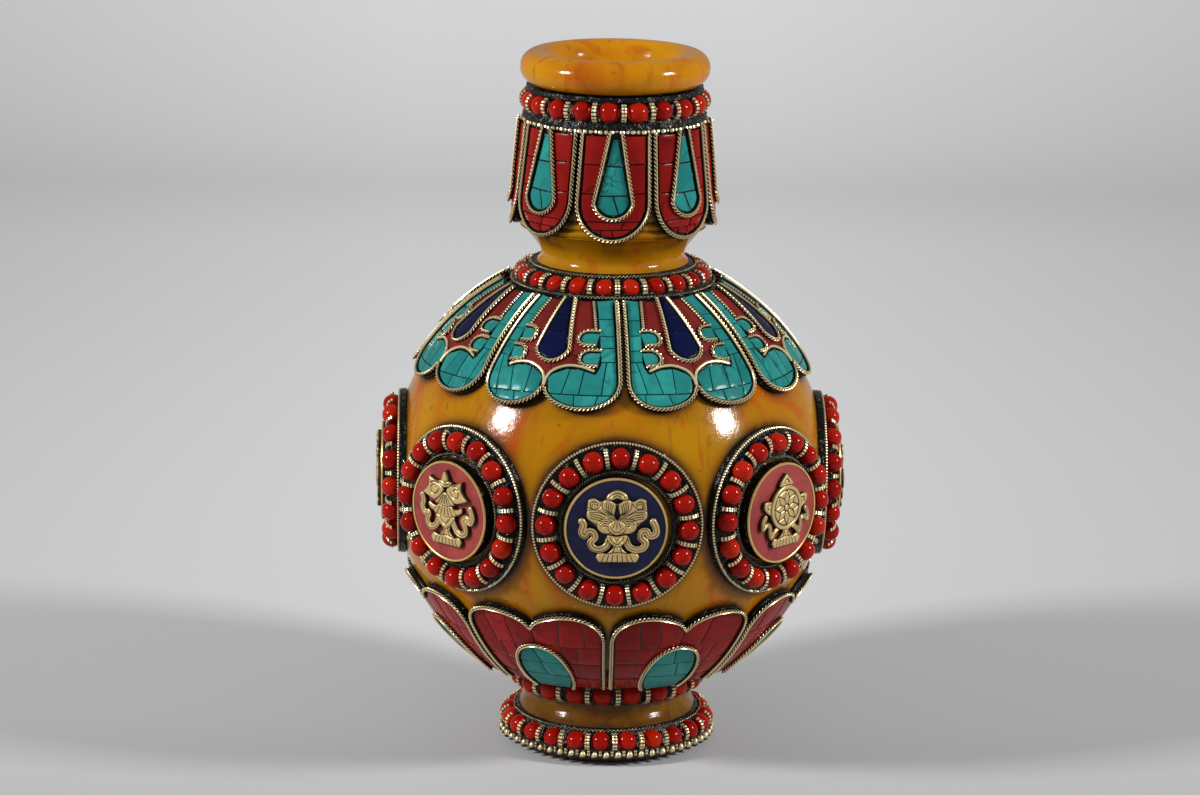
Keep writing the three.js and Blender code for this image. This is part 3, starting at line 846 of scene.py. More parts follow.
def build_neck():
    foot, top = floor_of("collar_bead_band"), floor_of("amber_lip")
    collar = top_of("collar_bead_band")
    profile = [(BORE_RADIUS, foot), (22, foot), (22.4, collar - 0.8), (21.6, collar + 0.8)]
    profile += [(20.7, collar + 1.7), (20.6, collar + 2.6), (20.9, collar + 3.8), (21.6, collar + 5.2)]
    profile.append((26.0, NECK_BELLY - 6.8))
    grooves = [NECK_BELLY - drop for drop in (6.6, 4.4, 1.9)]
    for groove in grooves:
        profile += [(26.7, groove - 0.25), (26.5, groove), (26.7, groove + 0.3), (27.1, groove + 0.7)]
        profile.append((27.3, groove + 1.3))
    profile += [(neck_radius(height), height) for height in np.linspace(NECK_BELLY, PANEL_TOP + 0.3, 8)]
    profile += [(22, PANEL_TOP + 0.6), (22, top), (BORE_RADIUS, top)]

    def wear_and_painted_shade(points):
        z = points[:, 2]
        near_groove = np.minimum.reduce([np.abs(z - groove) for groove in grooves])
        # Painted shade, with some dirt: darker in the grooves, at the collar and most of all beside the
        # panels.
        grime_and_painted_shade = 0.75 * np.exp(-near_groove / 0.22) + 0.5 * np.exp(-np.abs(z - collar))
        return np.clip(grime_and_painted_shade + 0.03 + 1.4 * np.exp(-(beside_panel(points) / 1.3) ** 2), 0, 1)
    turned("neck_skin", profile, AMBER, "amber", "amber_neck", wear_and_painted_shade, segments=360)


def build_lip():
    floor, radius = floor_of("amber_lip"), radius_of("amber_lip")
    roll = (OBJECT_TOP - floor) / 2
    centre, middle = radius - roll, floor + roll
    profile = [(BORE_RADIUS, floor), (18, floor), (centre - 1, floor)]
    profile += arc(centre, middle, roll, -88, 152, 44)
    profile += [(centre - 4.7, middle + 1.0), (16.9, middle - 0.8), (15.6, middle - 2.6)]
    profile.append((BORE_RADIUS, middle - 4.0))
    turned("lip_skin", profile, LIP_AMBER_PAINTED_GLOW, "amber", "amber_lip", lambda points: 0.08)


def build_foot():
    bottom, seat = floor_of("amber_foot"), floor_of("foot_bead_band")
    band_top, foot_top = top_of("base_bead_band"), top_of("foot_bead_band")
    waist = [(25.8, -0.6), (25.8, 0.3), (25.6, 1.1), (25.2, 2.0), (24.7, 2.95), (24.25, 3.9), (24.05, 4.9)]
    profile = [(0, bottom), (25.3, bottom), *[(radius, band_top + above) for radius, above in waist]]
    profile += [(24.0, seat), (23, seat + 0.2), (23, foot_top), (0, foot_top)]

    def wear_and_painted_shade(points):
        z = points[:, 2]
        # Darker all over, with painted shade where the foot meets the bands above and below.
        edge = np.minimum(np.abs(z - band_top), np.abs(z - seat))
        return np.clip(0.8 + 0.2 * np.exp(-edge / 1.2), 0, 1)
    turned("foot_skin", profile, AMBER, "amber", "amber_foot", wear_and_painted_shade)


def build_base_plate():
    radius, top = radius_of("base_plate"), top_of("base_plate")
    profile = [(0, 0), (radius - 1.2, 0), *arc(radius - 0.9, 0.9, 0.9, -80, 0, 5)]
    profile += [(radius, top - 0.5), (radius - 0.4, top), (0, top)]
    turned("base_disc", profile, LACQUER, "base_plate", "base_plate", crease=38)


# Bands of beads

def lumpy(points, height):
    """A hand-pressed surface: small smooth swells round the band."""
    x, y, z = np.asarray(points, float).T
    azimuth = np.arctan2(y, x)
    swell = np.sin(azimuth * 17 + z * 2.1) + np.sin(azimuth * 29 - z * 3.3) + np.sin(azimuth * 53 + z * 5.1)
    out = np.stack([np.cos(azimuth), np.sin(azimuth), np.zeros_like(z)], axis=1)
    return np.asarray(points, float) + out * (height * swell / 3)[:, None]


def band_profile(name, floor, top):
    """Section of the lac that a band's beads are pressed into."""
    if name == "collar_bead_band":
        return [(21.3, floor), (29.2, floor), (29.4, floor + 0.7), (27.4, floor + 2.4), (25.6, floor + 4.2),
                (23.6, top - 0.2), (21.9, top + 0.4), (21.3, top - 0.4)]
    if name == "base_bead_band":
        return [(25.6, floor), (30.3, floor), (30.6, floor + 0.8), (30.0, floor + 2), (28.6, floor + 3.6),
                (27.5, top - 1.4), (26.7, top - 0.1), (25.9, top)]
    if name == "foot_bead_band":
        return [(23.2, floor), (26, floor), (26.6, floor + 1.2), (26.4, floor + 3.2), (27.4, top - 1),
                (27.4, top), (23.2, top)]
    return [(22.2, floor - 1.2), (25.9, floor - 1.3), (26.35, floor - 0.7), (26.2, floor + 0.5),
            (24.8, floor + 2.2), (24.3, top - 2.6), (25.4, top - 1.2), (25.2, top), (22.2, top)]


def band_wires(name, floor, top):
    """Height, ring radius, half width, pitch and kind of the wires along a band's edges."""
    if name == "base_bead_band":
        return [(top - 0.5, 27.3, 0.36, 1.1, "rope")]
    if name == "collar_bead_band":
        return [(top - 0.1, 23.7, 0.38, 1.05, "rope"), (floor + 1.0, 29.2, 0.36, 1.05, "rope")]
    if name == "neck_bead_band":
        return [(floor - 1.3, 26.25, 0.56, 1.6, "dots")]
    return [(top - 0.4, 27.5, 0.34, 1.05, "rope")]


def build_band(name):
    """A lac ring with a string of beads, spacers between them and the wires along its edges."""
    count, ring_radius, slope, start = BANDS[name]
    floor, top = floor_of(name), top_of(name)
    middle = (floor + top) / 2 - 0.4 * (name == "collar_bead_band")
    size = min(BEAD_RADIUS, (2 * math.pi * ring_radius / count - SPACER_ROOM) / 2)
    if name == "neck_bead_band":
        middle = top - size - 1.1
    pile = Pile()
    vertices, faces = lathe(band_profile(name, floor, top), 224)
    pile.add(lumpy(vertices, 0.25), faces, 0.5, 0)
    for i in range(count):
        azimuth = start + (i + random.uniform(-0.03, 0.03)) * 360 / count
        radius = ring_radius + random.uniform(-0.15, 0.15)
        centre = polar(azimuth, radius, middle + random.uniform(-0.2, 0.2)).reshape(3)
        string = polar(azimuth + 90, 1.0, 0.0).reshape(3)
        add_bead(pile, centre, string, polar(azimuth, 1.0, 0.0).reshape(3), size, 1)
        add_spacer(pile, start + (i + 0.5) * 360 / count, ring_radius, middle, slope, size)
    for height, radius, half_width, pitch, kind in band_wires(name, floor, top):
        path = lumpy(polar(np.arange(0, 360, 1.5), radius, height), 0.7 if kind == "dots" else 0.2)
        shade = 0.9 if kind == "dots" else 0.62
        lay_wire(pile, path, from_axis, 2, half_width, shade, kind=kind, pitch=pitch, closed=True)
    pile.piece(name + "_beads", [LAC, BEAD, WIRE_BRASS], "coral_beads", [name])


def add_spacer(pile, azimuth, ring_radius, middle, slope, size):
    """Two beaded loops that stand side by side between two beads, square to the string."""
    angles = np.radians(np.linspace(-74, 74, 24) + slope + random.uniform(-8, 8))
    reach = size * random.uniform(0.84, 0.92)
    path = polar(azimuth, ring_radius + reach * np.cos(angles), middle + reach * np.sin(angles))
    centre = polar(azimuth, ring_radius, middle).reshape(3)

    def outward(points):
        away = points - centre
        return away / np.linalg.norm(away, axis=1, keepdims=True)
    for side in (-0.34, 0.34):
        loop = path + polar(azimuth + 90, side, 0.0)
        lay_wire(pile, loop, outward, 2, 0.39, kind="dots", pitch=1.0)


def build_granule_wire():
    """The wire round the base: bright leaning crests with two small granules between each."""
    floor, radius = floor_of("base_granule_wire"), radius_of("base_granule_wire")
    pile, count = Pile(), 57
    vertices, faces = GRANULE
    vertices = np.column_stack([vertices[:, :2], np.clip(vertices[:, 2], -0.7, 1)])
    size = np.column_stack([1.0 - 0.16 * vertices[:, 2], np.full((len(vertices), 2), (0.85, 1.4))])
    lean = np.array([[1, 0, 0.2], [0, 1, 0], [0, 0, 1]])
    for i in range(count):
        azimuth = i * 360 / count
        basis = np.array([polar(azimuth + 90, 1.0, 0.0), polar(azimuth, 1.0, 0.0), (0, 0, 1)])
        crest = (vertices * size * random.uniform(0.92, 1.06)) @ lean @ basis
        # Painted light: each crest is lighter towards its top and darker towards its foot.
        shade = np.clip(0.55 + 0.6 * vertices[:, 2], 0.2, 1)
        pile.add(polar(azimuth, radius - 0.95, floor + 0.2) + crest, faces, shade, 0)
        for height in (0.5, 1.35):
            centre = polar(azimuth + 180 / count, radius - 0.9, floor + height)
            add_granule(pile, centre, 0.5, 0, 0.5)
    around = polar(np.arange(0, 360, 1.5), radius - 1.3, floor + 0.7)
    for height in (-0.35, 0.9):
        core, core_faces, _ = wire(around + np.array([0, 0, height]), from_axis, 0.4, closed=True)
        pile.add(core, core_faces, 0.1, 0)
    pile.piece("base_beaded_wire", [WIRE_BRASS], "brass_wire", ["base_granule_wire"])


# Inlaid plates

def flat_on_globe(azimuth, latitude):
    b = math.radians(latitude)
    return SHEET_RADIUS * math.radians(azimuth) * math.cos(b), SHEET_RADIUS * b


def scallop_border(edge, corner, notch, tip):
    """A flat outline that starts and ends at the straight edge, with two lobes at the other end."""
    half = [(PLATE_HALF, latitude) for latitude in np.linspace(edge, corner, 14)[:-1]]
    for angle in np.radians(np.linspace(0, 180, 27)):
        base = corner + (notch - corner) * angle / math.pi
        half.append((PLATE_HALF * (1 + math.cos(angle)) / 2, base + (tip - base) * math.sin(angle)))
    return anticlockwise([flat_on_globe(*point) for point in whole(half)])


def inner_field(border, distance):
    """The border moved inwards on all sides but its straight edge, where it starts and ends."""
    points = shrink(border, distance)
    points[[0, -1], 1] = border[[0, -1], 1]
    return points


def side_at(height):
    """Half width of a globe plate, in millimetres, at a flat height."""
    return SHEET_RADIUS * math.radians(PLATE_HALF) * np.cos(height / SHEET_RADIUS)


def teardrop(top, bottom, narrow, wide):
    """An open path that has the stone on its left: down the left side, round the foot and up."""
    return densified([(-narrow, top), *arc(0, bottom + wide, wide, 190, 350, 18), (narrow, top)])


def add_bed(pile, border, place, base=0.35):
    """The black lac that a plate's stones are set in."""
    add_solid(pile, pillow(shrink(border, 0.2), base, BED_TOP, bevel=0.25), place)


def add_ground(pile, outline, place):
    """Black lac under a raised stone, which shows in its joints and round it."""
    add_solid(pile, pillow(outline, BED_TOP - 0.2, STONE_TOP + 0.14, bevel=0.05), place)


def border_bezel(pile, border, top, place, outward, slot):
    """The bezel runs along a plate's sides and its rounded end, and is open at its straight edge."""
    add_bezel(pile, densified(shrink(border, STRIP_IN)), top, place, outward, slot)


# Lappet, in flat millimetres: width of a column with its wires, heights of its two bumps, and the
# wire that rises from the notch and arches over each lobe
COLUMN_INNER = 5.1
BUMP_HEIGHTS = (55.3, 48.7)
LOBE_ARCH = [(0.1, 39.6), (0.3, 41.8), (1.7, 44.2), (5.3, 46.0), (9.2, 45.9), (12.8, 44.6)]


def bump_outline(height, reach, half):
    """The round-ended stone on the inner side of a turquoise column."""
    side = side_at(height) - COLUMN_INNER
    straight = reach - half
    return [(side - 0.2, height - half), (side - straight, height - half),
            *[(side - straight - half * math.sin(a), height - half * math.cos(a)) for a in
              np.linspace(0, math.pi, 12)[1:-1]],
            (side - straight, height + half), (side - 0.2, height + half)]


def lappet_side(pile, place, side, heights, inner_border):
    """One half of a lappet: the column, its two bumps, the lobe and the wires between them."""
    top, _, _, tip = heights
    right = [point for point in inner_border if point[0] > 0.3]
    right = right if right[0][1] > right[-1][1] else right[::-1]
    column = [(side_at(height) - COLUMN_INNER, height) for height in np.linspace(46.0, top - 0.8, 9)]
    boot = [*right, (0.75, 42.0), *[(x + 0.2, y - 0.8) for x, y in LOBE_ARCH[2:]], *column]
    rows = [tip + 4.7, 47.4, 51.8, 56.6, 62.3]
    cuts = {0: [(side * 8.6, 0.1), (side * 15.4, -0.1)],
            1: [(side * 5.6, -0.1), (side * 10.4, 0.05), (side * 15.6, 0)]}
    chips = split_region(sided(boot, side), rows, lambda row: cuts.get(row, []), 0.7)
    add_chips(pile, chips, place, BED_TOP - 0.2, STONE_TOP, 1)
    for height in BUMP_HEIGHTS:
        bump = sided(bump_outline(height, 4.7, 1.9), side)
        add_chips(pile, [bump], place, BED_TOP - 0.2, STONE_TOP + 0.05, 1, crown=0.15)
        hook = smooth(sided(bump_outline(height, 5.1, 2.3), side), closed=False, steps=4)
        add_bezel(pile, hook[::-side], STONE_TOP + 0.75, place, from_globe, 4, shade=0.68)
    lobe_wire = smooth(sided(LOBE_ARCH, side), closed=False, steps=6)
    add_wire(pile, lobe_wire, STONE_TOP + 0.15, place, from_globe, 4, 0.4, shade=0.85)
    wired = np.linspace(top - 1, BUMP_HEIGHTS[0] + 3.1, 8)
    inner = densified([(side * (side_at(height) - COLUMN_INNER - 0.75), height) for height in wired])
    add_wire(pile, inner, STONE_TOP, place, from_globe, 4, 0.42, shade=0.72, kind="dots", pitch=0.95)


def build_lappets():
    heights = [SHEET_RADIUS * math.radians(latitude) for latitude in LAPPET]
    top = heights[0]
    border = scallop_border(*LAPPET)
    inner_border = inner_field(border, BEZEL_WIDTH + 0.25)
    drop = teardrop(top - 0.2, 47.2, 1.3, 4.7)
    stone = teardrop(top - 0.4, 48.0, 0.7, 3.9)
    field = [(side_at(h) - COLUMN_INNER - 1.3, h) for h in np.linspace(top - 0.8, 47.2, 8)]
    field = whole(field + [(x, y + 0.5) for x, y in reversed(LOBE_ARCH[1:5])])
    for number in range(COPIES):
        place = globe_sheet(LAPPET_TURN + number * 360 / COPIES, skew=LAPPET_SKEW[number])
        pile = Pile()
        add_bed(pile, border, place)
        chips = split_region(field, [top - 13, top - 20.5], lambda row: [(0, 0.1)], 0.9)
        add_chips(pile, chips, place, BED_TOP - 0.3, BED_TOP + 0.3, 2, joint=0.1)
        for side in (1, -1):
            lappet_side(pile, place, side, heights, inner_border)
        add_ground(pile, drop, place)
        chips = split_region(stone, [top - 7.5, top - 13.5], lambda row: [], 1.5)
        add_chips(pile, chips, place, BED_TOP - 0.2, STONE_TOP + 0.36, 3, joint=0.16)
        add_bezel(pile, drop, STONE_TOP + 1.0, place, from_globe, 4)
        border_bezel(pile, border, STONE_TOP + 0.95, place, from_globe, 4)
        name = f"shoulder_lappet_{number + 1}"
        materials = [LAC, TURQUOISE, ROUGH_CORAL, LAPIS, WIRE_BRASS]
        pile.piece(name + "_inlay", materials, "turquoise_inlay", [name])


def build_petals():
    edge, tip = SHEET_RADIUS * math.radians(PETAL[0]), SHEET_RADIUS * math.radians(PETAL[3])
    border = scallop_border(*PETAL)
    inner_border = densified(inner_field(border, BEZEL_WIDTH + 0.25), 1.5, closed=True)
    half = [(5.2, 0), (6.7, 4), (7.4, 8.5), (7.4, 12), (6.5, 16.5), (4.2, 20), (0, 21.6)]
    dome = smooth(whole([(x, edge + y) for x, y in half]), closed=False)
    glass = offset(dome, 0.62, False)
    glass[[0, -1], 1] = edge + 0.1
    rows = [tip - 6.2, tip - 13.4, tip - 20.5, tip - 28.5]

    def spread(row):
        """A row's cuts, which fan out from the middle and lean more the further out they are."""
        spacing = 0.62 + 0.1 * row
        return [(x * spacing + random.uniform(-1, 1), -0.014 * x) for x in (-14.5, -7.5, 0, 7.5, 14.5)]
    for number in range(COPIES):
        place = globe_sheet(PETAL_TURN + number * 360 / COPIES, flare_from=PETAL[1])
        pile = Pile()
        add_bed(pile, border, place)
        add_solid(pile, pillow(inner_border, BED_TOP - 0.1, STONE_TOP - 0.2, bevel=0.05), place, 4)
        chips = split_region(inner_border, rows, spread, 1.0)
        add_chips(pile, chips, place, BED_TOP - 0.2, STONE_TOP, 1)
        add_ground(pile, dome, place)
        chips = split_region(glass, [edge + 7.5, edge + 14], lambda row: [(0.4, 0.2)] if row else [], 1.4)
        add_chips(pile, chips, place, BED_TOP - 0.2, STONE_TOP + 0.36, 2)
        add_bezel(pile, dome, STONE_TOP + 1.1, place, from_globe, 3)
        border_bezel(pile, border, STONE_TOP + 0.95, place, from_globe, 3)
        name = f"lower_petal_{number + 1}"
        materials = [LAC, CORAL, TURQUOISE, WIRE_BRASS, GROUT_FILL]
        pile.piece(name + "_inlay", materials, "coral_inlay", [name])


def build_panels():
    straight = PANEL_END + PANEL_ROUND
    border = densified([(-PANEL_HALF, PANEL_TOP), (-PANEL_HALF, straight)], 1.2)[:-1].tolist()
    border += [(-PANEL_HALF * math.cos(a), straight - PANEL_ROUND * math.sin(a)) for a in
               np.linspace(0, math.pi, 29)]
    border += densified([(PANEL_HALF, straight), (PANEL_HALF, PANEL_TOP)], 1.2)[1:].tolist()
    border = np.array(border)
    field_top = PANEL_TOP - 1.7
    field = [point for point in inner_field(border, BEZEL_WIDTH + 0.5) if point[1] < field_top - 0.4]
    field = [(field[0][0], field_top), *field, (field[-1][0], field_top)]
    drop = teardrop(PANEL_TOP - 0.6, PANEL_FOOT + 6.1, 1.5, 5.1)
    stone = teardrop(PANEL_TOP - 2.4, PANEL_FOOT + 6.8, 0.8, 4.5)
    for number in range(COPIES):
        place = neck_sheet(number * 360 / COPIES, PANEL_LEAN[number])
        pile = Pile()
        add_bed(pile, border, place, base=-0.6)
        cuts = {0: [(-3.6, 0), (0.8, 0.3), (4.4, 0)], 1: [(-6.8, 0.4), (1.8, -0.3)]}
        rows = [PANEL_FOOT + 2.7, PANEL_FOOT + 5.0, PANEL_FOOT + 12.8, PANEL_FOOT + 21.0]
        chips = split_region(field, rows, lambda row: cuts.get(row, []), 0.8)
        add_chips(pile, chips, place, BED_TOP - 0.2, STONE_TOP, 1, joint=0.34)
        add_ground(pile, drop, place)
        rows = [PANEL_FOOT + 12.4, PANEL_FOOT + 20.6]
        chips = split_region(stone, rows, lambda row: [] if row else [(0.3, 0.35)], 1.0)
        add_chips(pile, chips, place, BED_TOP - 0.2, STONE_TOP + 0.36, 2, joint=0.4)
        add_bezel(pile, drop, STONE_TOP + 1.35, place, from_axis, 3)
        border_bezel(pile, border, STONE_TOP + 0.75, place, from_axis, 3)
        name = f"neck_panel_{number + 1}"
        pile.piece(name + "_inlay", [LAC, CORAL, TURQUOISE, WIRE_BRASS], "coral_inlay", [name])


# Cast emblems

class Relief:
    """A cast relief on a fine flat grid: shapes lie one over another and lines are engraved."""

    def __init__(self, half=12.6, step=0.15):
        self.step = step
        self.side = np.arange(-half, half + step, step)
        shape = (len(self.side), len(self.side))
        self.outside = np.full(shape, 9.0)
        self.height = np.zeros(shape)
        self.tone = np.full(shape, 0.3)

    def distance(self, points, closed):
        """The part of the grid round a line, and each node's distance to it, below 0 inside."""
        low = np.maximum(np.searchsorted(self.side, points.min(axis=0) - 1.6), 0)
        high = np.searchsorted(self.side, points.max(axis=0) + 1.6)
        part = (slice(low[1], high[1]), slice(low[0], high[0]))
        x, y = self.side[part[1]][None, :], self.side[part[0]][:, None]
        nearest = np.full((y.shape[0], x.shape[1]), 9.0)
        inside = np.zeros(nearest.shape, bool)
        ends = np.roll(points, -1, axis=0) if closed else points[1:]
        for (ax, ay), (bx, by) in zip(points, ends):
            dx, dy = bx - ax, by - ay
            share = np.clip(((x - ax) * dx + (y - ay) * dy) / max(dx * dx + dy * dy, 1e-9), 0, 1)
            nearest = np.minimum(nearest, np.hypot(x - ax - share * dx, y - ay - share * dy))
            if closed and dy:
                inside ^= ((ay > y) != (by > y)) & (x < ax + dx * (y - ay) / dy)
        return part, np.where(inside, -nearest, nearest)

    def lay(self, part, distance, lift, rise, edge):
        """Lays a round-edged shape over what is there, with a groove round it that is darkened by patina and
        painted shade; the shape is painted lighter on its top than on its rounded edges.
        """
        within = distance < 0
        round_top = np.sqrt(1 - (1 - np.clip(-distance / edge, 0, 1)) ** 2)
        rim = np.exp(-(np.clip(distance, 0, None) / 0.17) ** 2)
        # Painted light and shade: a shape is lighter on its top than on its rounded edges, and the groove
        # round it is darkened, partly as patina.
        self.height[part] = np.where(within, lift + rise * round_top, self.height[part] - 0.25 * rim)
        self.tone[part] = np.where(within, 0.3 + 0.7 * round_top, self.tone[part] * (1 - 0.85 * rim))
        self.outside[part] = np.minimum(self.outside[part], distance)

    def shape(self, points, lift=0.0, rise=0.5, edge=0.75):
        self.lay(*self.distance(smooth(points), True), lift, rise, edge)

    def ribbon(self, points, half, lift=0.0, rise=0.4, creases=(-0.3, 0.55)):
        """A band along a path, with creases engraved at shares of its half width."""
        path = smooth(points, closed=False)
        part, distance = self.distance(path, False)
        self.lay(part, distance - half, lift, rise, 0.45)
        for crease in creases:
            self.line(offset(path, crease * half, False), 0.11, 0.22, raw=True)

    def line(self, points, half=0.15, depth=0.34, raw=False):
        path = np.asarray(points, float) if raw else smooth(points, closed=False)
        part, distance = self.distance(path, False)
        groove = np.exp(-(distance / half) ** 2)
        self.height[part] -= depth * groove
        # The engraved line is darkened: patina and painted shade.
        self.tone[part] *= 1 - 0.92 * groove

    def hole(self, points):
        part, distance = self.distance(smooth(points), True)
        self.outside[part] = np.maximum(self.outside[part], -distance)
        # Painted shade round the hole's edge.
        self.tone[part] *= 1 - 0.6 * np.exp(-(distance / 0.3) ** 2)

    def mesh(self, back, level):
        """The relief as a closed body from its back up to its heights above level."""
        d = self.outside
        cells = np.argwhere((d[:-1, :-1] + d[1:, :-1] + d[:-1, 1:] + d[1:, 1:]) < 0)
        corners = cells[:, None, :] + np.array([(0, 0), (0, 1), (1, 1), (1, 0)])
        width = d.shape[1]
        flat = corners[..., 0] * width + corners[..., 1]
        used, inverse, uses = np.unique(flat, return_inverse=True, return_counts=True)
        quads = inverse.reshape(flat.shape)
        row, column = used // width, used % width
        x, y = self.side[column], self.side[row]
        on_edge = uses < 4
        slope_y, slope_x = np.gradient(d, self.step)
        slope_x, slope_y = slope_x[row, column], slope_y[row, column]
        pull = np.clip(d[row, column], -self.step, self.step) / np.maximum(slope_x ** 2 + slope_y ** 2, 0.3)
        x, y = np.where(on_edge, x - pull * slope_x, x), np.where(on_edge, y - pull * slope_y, y)
        height = np.where(on_edge, 0.0, self.height[row, column])
        # Painted shade: the relief's sides are darker towards its back.
        tones = np.where(on_edge, 0.25, self.tone[row, column])
        count = len(used)
        front = np.column_stack([x, y, level + height])
        vertices = np.concatenate([front, np.column_stack([x, y, np.full(count, back)])])
        faces = quads.tolist() + (quads[:, ::-1] + count).tolist()
        edges = {(a, b) for quad in quads.tolist() for a, b in zip(quad, quad[1:] + quad[:1])}
        faces += [(a + count, b + count, b, a) for a, b in sorted(edges) if (b, a) not in edges]
        return vertices, faces, np.concatenate([tones, np.full(count, 0.05)])


def ring_points(radius, centre, start=0, end=360, steps=24):
    angles = np.radians(np.linspace(start, end, steps + 1))
    return [(centre[0] + radius * math.cos(a), centre[1] + radius * math.sin(a)) for a in angles]


# The lotus and the wheel are drawn about a line just right of the plaque's middle
EMBLEM_MIDDLE = 0.2
SIDE_RIBBON = [(2.6, -2.2), (4.3, -4.6), (6.2, -5.4), (7.8, -4.6), (7.6, -2.6), (6.9, -1.1), (8.2, -0.4),
               (9.6, -1.4), (10.4, 0.2), (9.6, 2.4)]


def draw_stand(relief, right=SIDE_RIBBON, left=None, half=1.0):
    """The pleated lotus base and stem that every emblem stands on, and a ribbon on each side."""
    relief.shape([(-1.1, -3.6), (1.9, -3.6), (1.6, -5.2), (3.4, -6.9), (3.4, -6.9), (-2.6, -6.9),
                  (-2.6, -6.9), (-0.8, -5.2)], 0.0, 0.35)
    for x in (-0.3, 1.1):
        relief.line([(0.4 + 0.6 * (x - 0.4), -4.6), (0.4 + 1.8 * (x - 0.4), -6.6)], 0.13)
    relief.shape([(-5.6, -7.9), (-5.6, -7.9), (-4.6, -6.5), (-2.4, -6.9), (0.4, -6.5), (3.2, -6.9),
                  (5.4, -6.4), (6.5, -7.7), (6.5, -7.7), (5.7, -9.3), (5.7, -9.3), (-4.8, -9.3),
                  (-4.8, -9.3)], 0.1, 0.4)
    for x in (-3.9, -2.5, -1.1, 0.4, 1.9, 3.3, 4.7):
        relief.line([(0.4 + 0.82 * (x - 0.4), -7.3), (x, -9.0)], 0.13)
    for path in (left or mirror(right), right):
        relief.ribbon(path, half)


def draw_lotus(relief):
    """The lotus: ribbed petals about a bud, on a fan with curled corners, under a crest."""
    left = [(-1.8, -2.6), (-2.6, -4.6), (-4.4, -5.6), (-6.3, -5.2), (-7.0, -3.6), (-5.9, -2.4), (-6.2, -0.9),
            (-7.6, -0.5), (-8.6, -1.8), (-9.5, -0.7), (-9.0, 1.2), (-9.5, 2.3)]
    right = [(2.6, -2.6), (3.6, -4.8), (5.4, -5.7), (7.4, -5.3), (8.2, -3.7), (6.9, -2.4), (7.0, -0.8),
             (8.3, -0.4), (9.4, -1.8), (10.9, -1.3), (11.0, 0.4), (10.2, 2.3)]
    draw_stand(relief, right, left)
    fan = [(0.2, -1.6), (3.2, -1.3), (5.2, -0.4), (6.1, 1.1), (7.2, 2.0), (8.6, 3.1), (8.6, 3.1), (8.5, 5.4),
           (8.2, 8.4), (8.2, 8.4), (6.6, 8.9), (4.6, 8.0), (2.6, 8.8), (1.2, 7.6), (0.2, 7.4)]
    relief.shape(fan + mirror(fan[::-1], EMBLEM_MIDDLE), 0.0, 0.45)
    for side in (1, -1):
        def shape(points, lift, rise):
            relief.shape(sided(points, side, EMBLEM_MIDDLE), lift, rise)

        def line(points, half=0.12):
            relief.line(sided(points, side, EMBLEM_MIDDLE), half)

        def ribs(points, steps, count):
            """Lines side by side, each a step further on than the one before it."""
            for k in range(count):
                line([(x + k * dx, y + k * dy) for (x, y), (dx, dy) in zip(points, steps)])
        shape([(0.7, 7.3), (2.6, 8.7), (4.0, 8.0), (4.1, 6.2), (2.9, 4.4), (1.0, 3.2),
               (0.9, 4.6)], 0.12, 0.45)
        shape([(0.4, 2.3), (2.6, 3.4), (4.3, 4.8), (6.4, 5.6), (8.4, 5.2), (8.4, 3.4), (6.6, 1.9),
               (4.4, 1.2), (1.6, 0.8)], 0.2, 0.4)
        shape([(1.2, 1.6), (2.6, 2.9), (4.4, 3.0), (5.7, 1.7), (5.3, 0.0), (3.8, -1.0),
               (1.8, -0.8)], 0.34, 0.4)
        ribs([(1.2, 7.0), (1.7, 5.4), (1.2, 3.9)], [(0.62, 0.3), (0.5, 0.1), (0.32, 0.12)], 4)
        line(ring_points(1.0, (6.6, 7.0), -60, 200), 0.15)
        line(ring_points(0.5, (6.6, 6.9), -40, 180))
        line([(4.6, 7.4), (5.1, 6.3), (6.6, 5.8), (8.0, 6.2)], 0.13)
        ribs([(3.4, 4.0), (5.4, 4.9), (7.8, 4.9)], [(0.3, -0.52), (0.2, -0.66), (-0.1, -0.55)], 4)
        ribs([(2.2, 2.2), (3.8, 2.5), (5.1, 1.5)], [(0.3, -0.6), (0.0, -0.65), (-0.35, -0.5)], 3)
    bud = [(0.2, 2.9), (1.4, 2.4), (2.6, 1.2), (2.2, -0.4), (0.2, -1.5)]
    relief.shape(whole(bud, EMBLEM_MIDDLE), 0.46, 0.42)
    for x in (-0.9, 0.2, 1.3):
        relief.line([(0.2 + 0.4 * (x - 0.2), 2.3), (x, 0.6)], 0.12)
    relief.line([(-1.5, 0.6), (-0.6, -0.5), (1.0, -0.5), (1.9, 0.6)], 0.12)
    relief.shape([(-2.4, -1.5), (0.2, -1.9), (2.9, -1.5), (2.7, -3.4), (0.4, -5.0), (-2.0, -3.4)], 0.34, 0.4)
    relief.line([(-1.6, -2.1), (-1.1, -3.3), (0.3, -4.1), (1.6, -3.3), (2.1, -2.1)], 0.12)
    relief.line([(-0.7, -2.2), (0.2, -3.1), (1.2, -2.2)], 0.12)
    relief.shape([(-2.8, 8.8), (-2.2, 10.2), (0.2, 11.3), (2.6, 10.3), (3.2, 8.7), (1.6, 8.5), (0.2, 8.9),
                  (-1.2, 8.4)], 0.2, 0.5)
    relief.line([(-1.9, 9.1), (-1.1, 10.0), (0.2, 10.5), (1.5, 10.0), (2.3, 9.1)], 0.13)
    relief.line([(-0.9, 9.2), (0.2, 9.8), (1.3, 9.2)], 0.12)
    relief.hole([(-1.2, 8.1), (0.3, 8.6), (1.7, 8.1), (0.3, 7.5)])
    relief.hole([(0.2, 7.4), (0.2, 7.4), (0.5, 5.6), (1.0, 3.9), (0.3, 2.9), (-0.5, 3.9), (-0.1, 5.6)])


